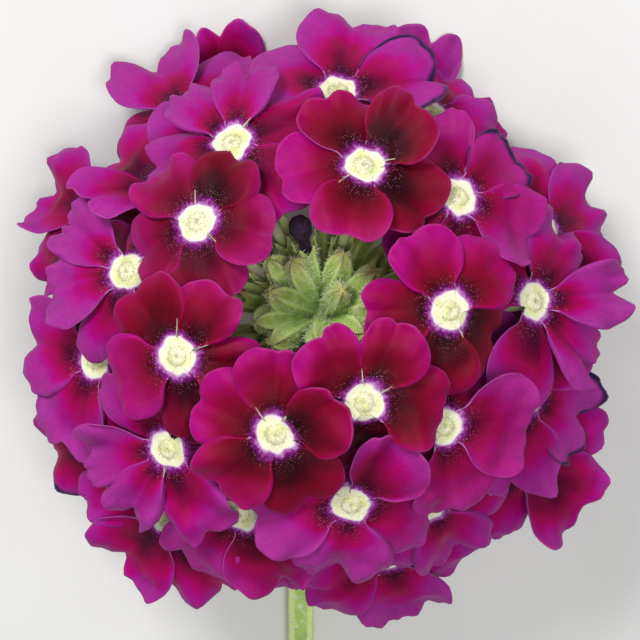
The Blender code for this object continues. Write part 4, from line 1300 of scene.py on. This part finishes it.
class VERBENA_OT_green(bpy.types.Operator):
    """Make the stem, the calyces and their hairs"""
    bl_idname = "verbena.green"
    bl_label = "Stem and calyces"

    def execute(self, context):
        settings = context.scene.verbena_green
        green = green_material("calyx_green", tuple(settings.light), tuple(settings.dark),
                               colour(150, 66, 60))
        pith = plain_material("stem_pith", colour(214, 222, 176), 0.7, colour(186, 200, 140), 900.0, 0.4)
        stem = Skin()
        stem_skin(stem)
        cups, young = Skin(), Skin()
        for number, row in enumerate(FLORETS):
            root, tip = floret_path(row)[:2]
            ribbed_skin(cups, root, tip, False, draws("calyx", number))
            rng = draws("bract", number)
            bract_skin(cups, root, (tip - root).normalized(), rng.uniform(6.5, 9.0),
                       rng.uniform(0.9, 1.3), rng)
        lower_bracts(cups, draws("lower bracts"))
        for number, row in enumerate(YOUNG):
            root, tip = young_path(row)
            ribbed_skin(young, root, tip, True, draws("young", number))
        ribbed_skin(young, *young_path(BUD), False, draws("bud calyx"))
        tree = bpy.data.node_groups.get("Hairs on a surface") or hair_tree()
        hair = plain_material("green_hair", colour(240, 244, 226), 0.5, colour(220, 230, 196), 900.0)
        for number, (name, skin, dense) in enumerate((("stem", stem, 0.6), ("open_calyces", cups, 0.55),
                                                      ("closed_calyces", young, 1.7))):
            piece = skin.made(name, [green, pith])
            hairs = grown_hairs(name + "_hairs", piece.data.copy(), tree,
                                {"Density": settings.hair_density * dense, "Length": settings.hair_length,
                                 "Width": 0.00004, "Lean": 0.6, "Seed": SEEDS["green hairs"] + number,
                                 "Material": hair})
            for thing in (piece, hairs):
                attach(thing, "root")
            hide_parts("stem_and_calyces")
        return {"FINISHED"}


class VERBENA_OT_bud(bpy.types.Operator):
    """Make the closed dark bud"""
    bl_idname = "verbena.bud"
    bl_label = "Bud"

    def execute(self, context):
        skin = Skin()
        bud_skin(skin)
        dark = plain_material("bud_dark", colour(36, 12, 38), 0.85, colour(66, 30, 70), 1500.0, 0.8)
        piece = skin.made("bud_folded_petals", [dark])
        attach(piece, "root")
        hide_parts("bud_01")
        return {"FINISHED"}


class VERBENA_OT_stage(bpy.types.Operator):
    """Make the camera, the floor and the soft lights"""
    bl_idname = "verbena.stage"
    bl_label = "Stage"

    def execute(self, context):
        settings = context.scene.verbena_stage
        scene = context.scene
        head = CENTRE * MM + SHIFT
        target = head - RIGHT * (2 * settings.pixel)
        lens = bpy.data.cameras.new("camera")
        camera = shown("camera", lens)
        turn = Matrix((RIGHT, UP, TOWARD)).transposed().to_4x4()
        camera.matrix_world = Matrix.Translation(target + TOWARD * settings.distance) @ turn
        lens.sensor_width = SENSOR
        lens.lens = SENSOR * settings.distance / (PICTURE * settings.pixel)
        lens.clip_start = 0.01
        scene.camera = camera
        mesh = bpy.data.meshes.new("floor")
        corners = [(FLOOR * x, FLOOR * y, 0) for x, y in ((-1, -1), (1, -1), (1, 1), (-1, 1))]
        mesh.from_pydata(corners, [], [(0, 1, 2, 3)])
        floor = shown("floor", mesh)
        shade = tuple(settings.floor)
        paper = plain_material("floor_paper", shade, 0.8, tuple(0.98 * c for c in shade), 40.0)
        mesh.materials.append(paper)
        for name, way, size, power in (("key", TOWARD * 0.95 + UP * 0.42 - RIGHT * 0.34, 0.20, 2.40),
                                       ("fill", TOWARD - UP * 0.22 + RIGHT * 0.16, 0.25, 1.55)):
            light = bpy.data.lights.new(name, "AREA")
            light.shape = "DISK"
            light.size = size
            light.energy = power
            lamp = shown(name, light)
            way = way.normalized()
            lamp.matrix_world = (Matrix.Translation(head + way * LAMP_AWAY)
                                 @ way.to_track_quat("Z", "Y").to_matrix().to_4x4())
        world = bpy.data.worlds.new("studio")
        world.use_nodes = True
        back = world.node_tree.nodes["Background"]
        back.inputs[0].default_value = (0.95, 0.97, 1.0, 1.0)
        back.inputs[1].default_value = 0.36
        scene.world = world
        scene.view_settings.view_transform = "Standard"
        scene.view_settings.look = "None"
        return {"FINISHED"}


class VERBENA_PT_panel(bpy.types.Panel):
    bl_label = "Verbena"
    bl_idname = "VERBENA_PT_panel"
    bl_space_type = "VIEW_3D"
    bl_region_type = "UI"
    bl_category = "Verbena"

    def draw(self, context):
        scene = context.scene
        for group, words in ((scene.verbena_petals, ("thickness", "eye_radius", "eye_colour", "halo_colour",
                                                     "underside_colour")),
                             (scene.verbena_green, ("hair_length", "hair_density", "light", "dark")),
                             (scene.verbena_stage, ("distance", "pixel", "floor"))):
            box = self.layout.box()
            for word in words:
                box.prop(group, word)
        for step in STEPS:
            self.layout.operator("verbena." + step)


STEPS = ("florets", "green", "bud", "stage")
CLASSES = (VerbenaPetals, VerbenaGreen, VerbenaStage, VERBENA_OT_florets, VERBENA_OT_green,
           VERBENA_OT_bud, VERBENA_OT_stage, VERBENA_PT_panel)


def register():
    for made in CLASSES:
        bpy.utils.register_class(made)
    bpy.types.Scene.verbena_petals = bpy.props.PointerProperty(type=VerbenaPetals)
    bpy.types.Scene.verbena_green = bpy.props.PointerProperty(type=VerbenaGreen)
    bpy.types.Scene.verbena_stage = bpy.props.PointerProperty(type=VerbenaStage)


def unregister():
    del bpy.types.Scene.verbena_stage
    del bpy.types.Scene.verbena_green
    del bpy.types.Scene.verbena_petals
    for made in reversed(CLASSES):
        bpy.utils.unregister_class(made)


def main():
    register()
    for step in STEPS:
        getattr(bpy.ops.verbena, step)()


if __name__ == "__main__":
    main()
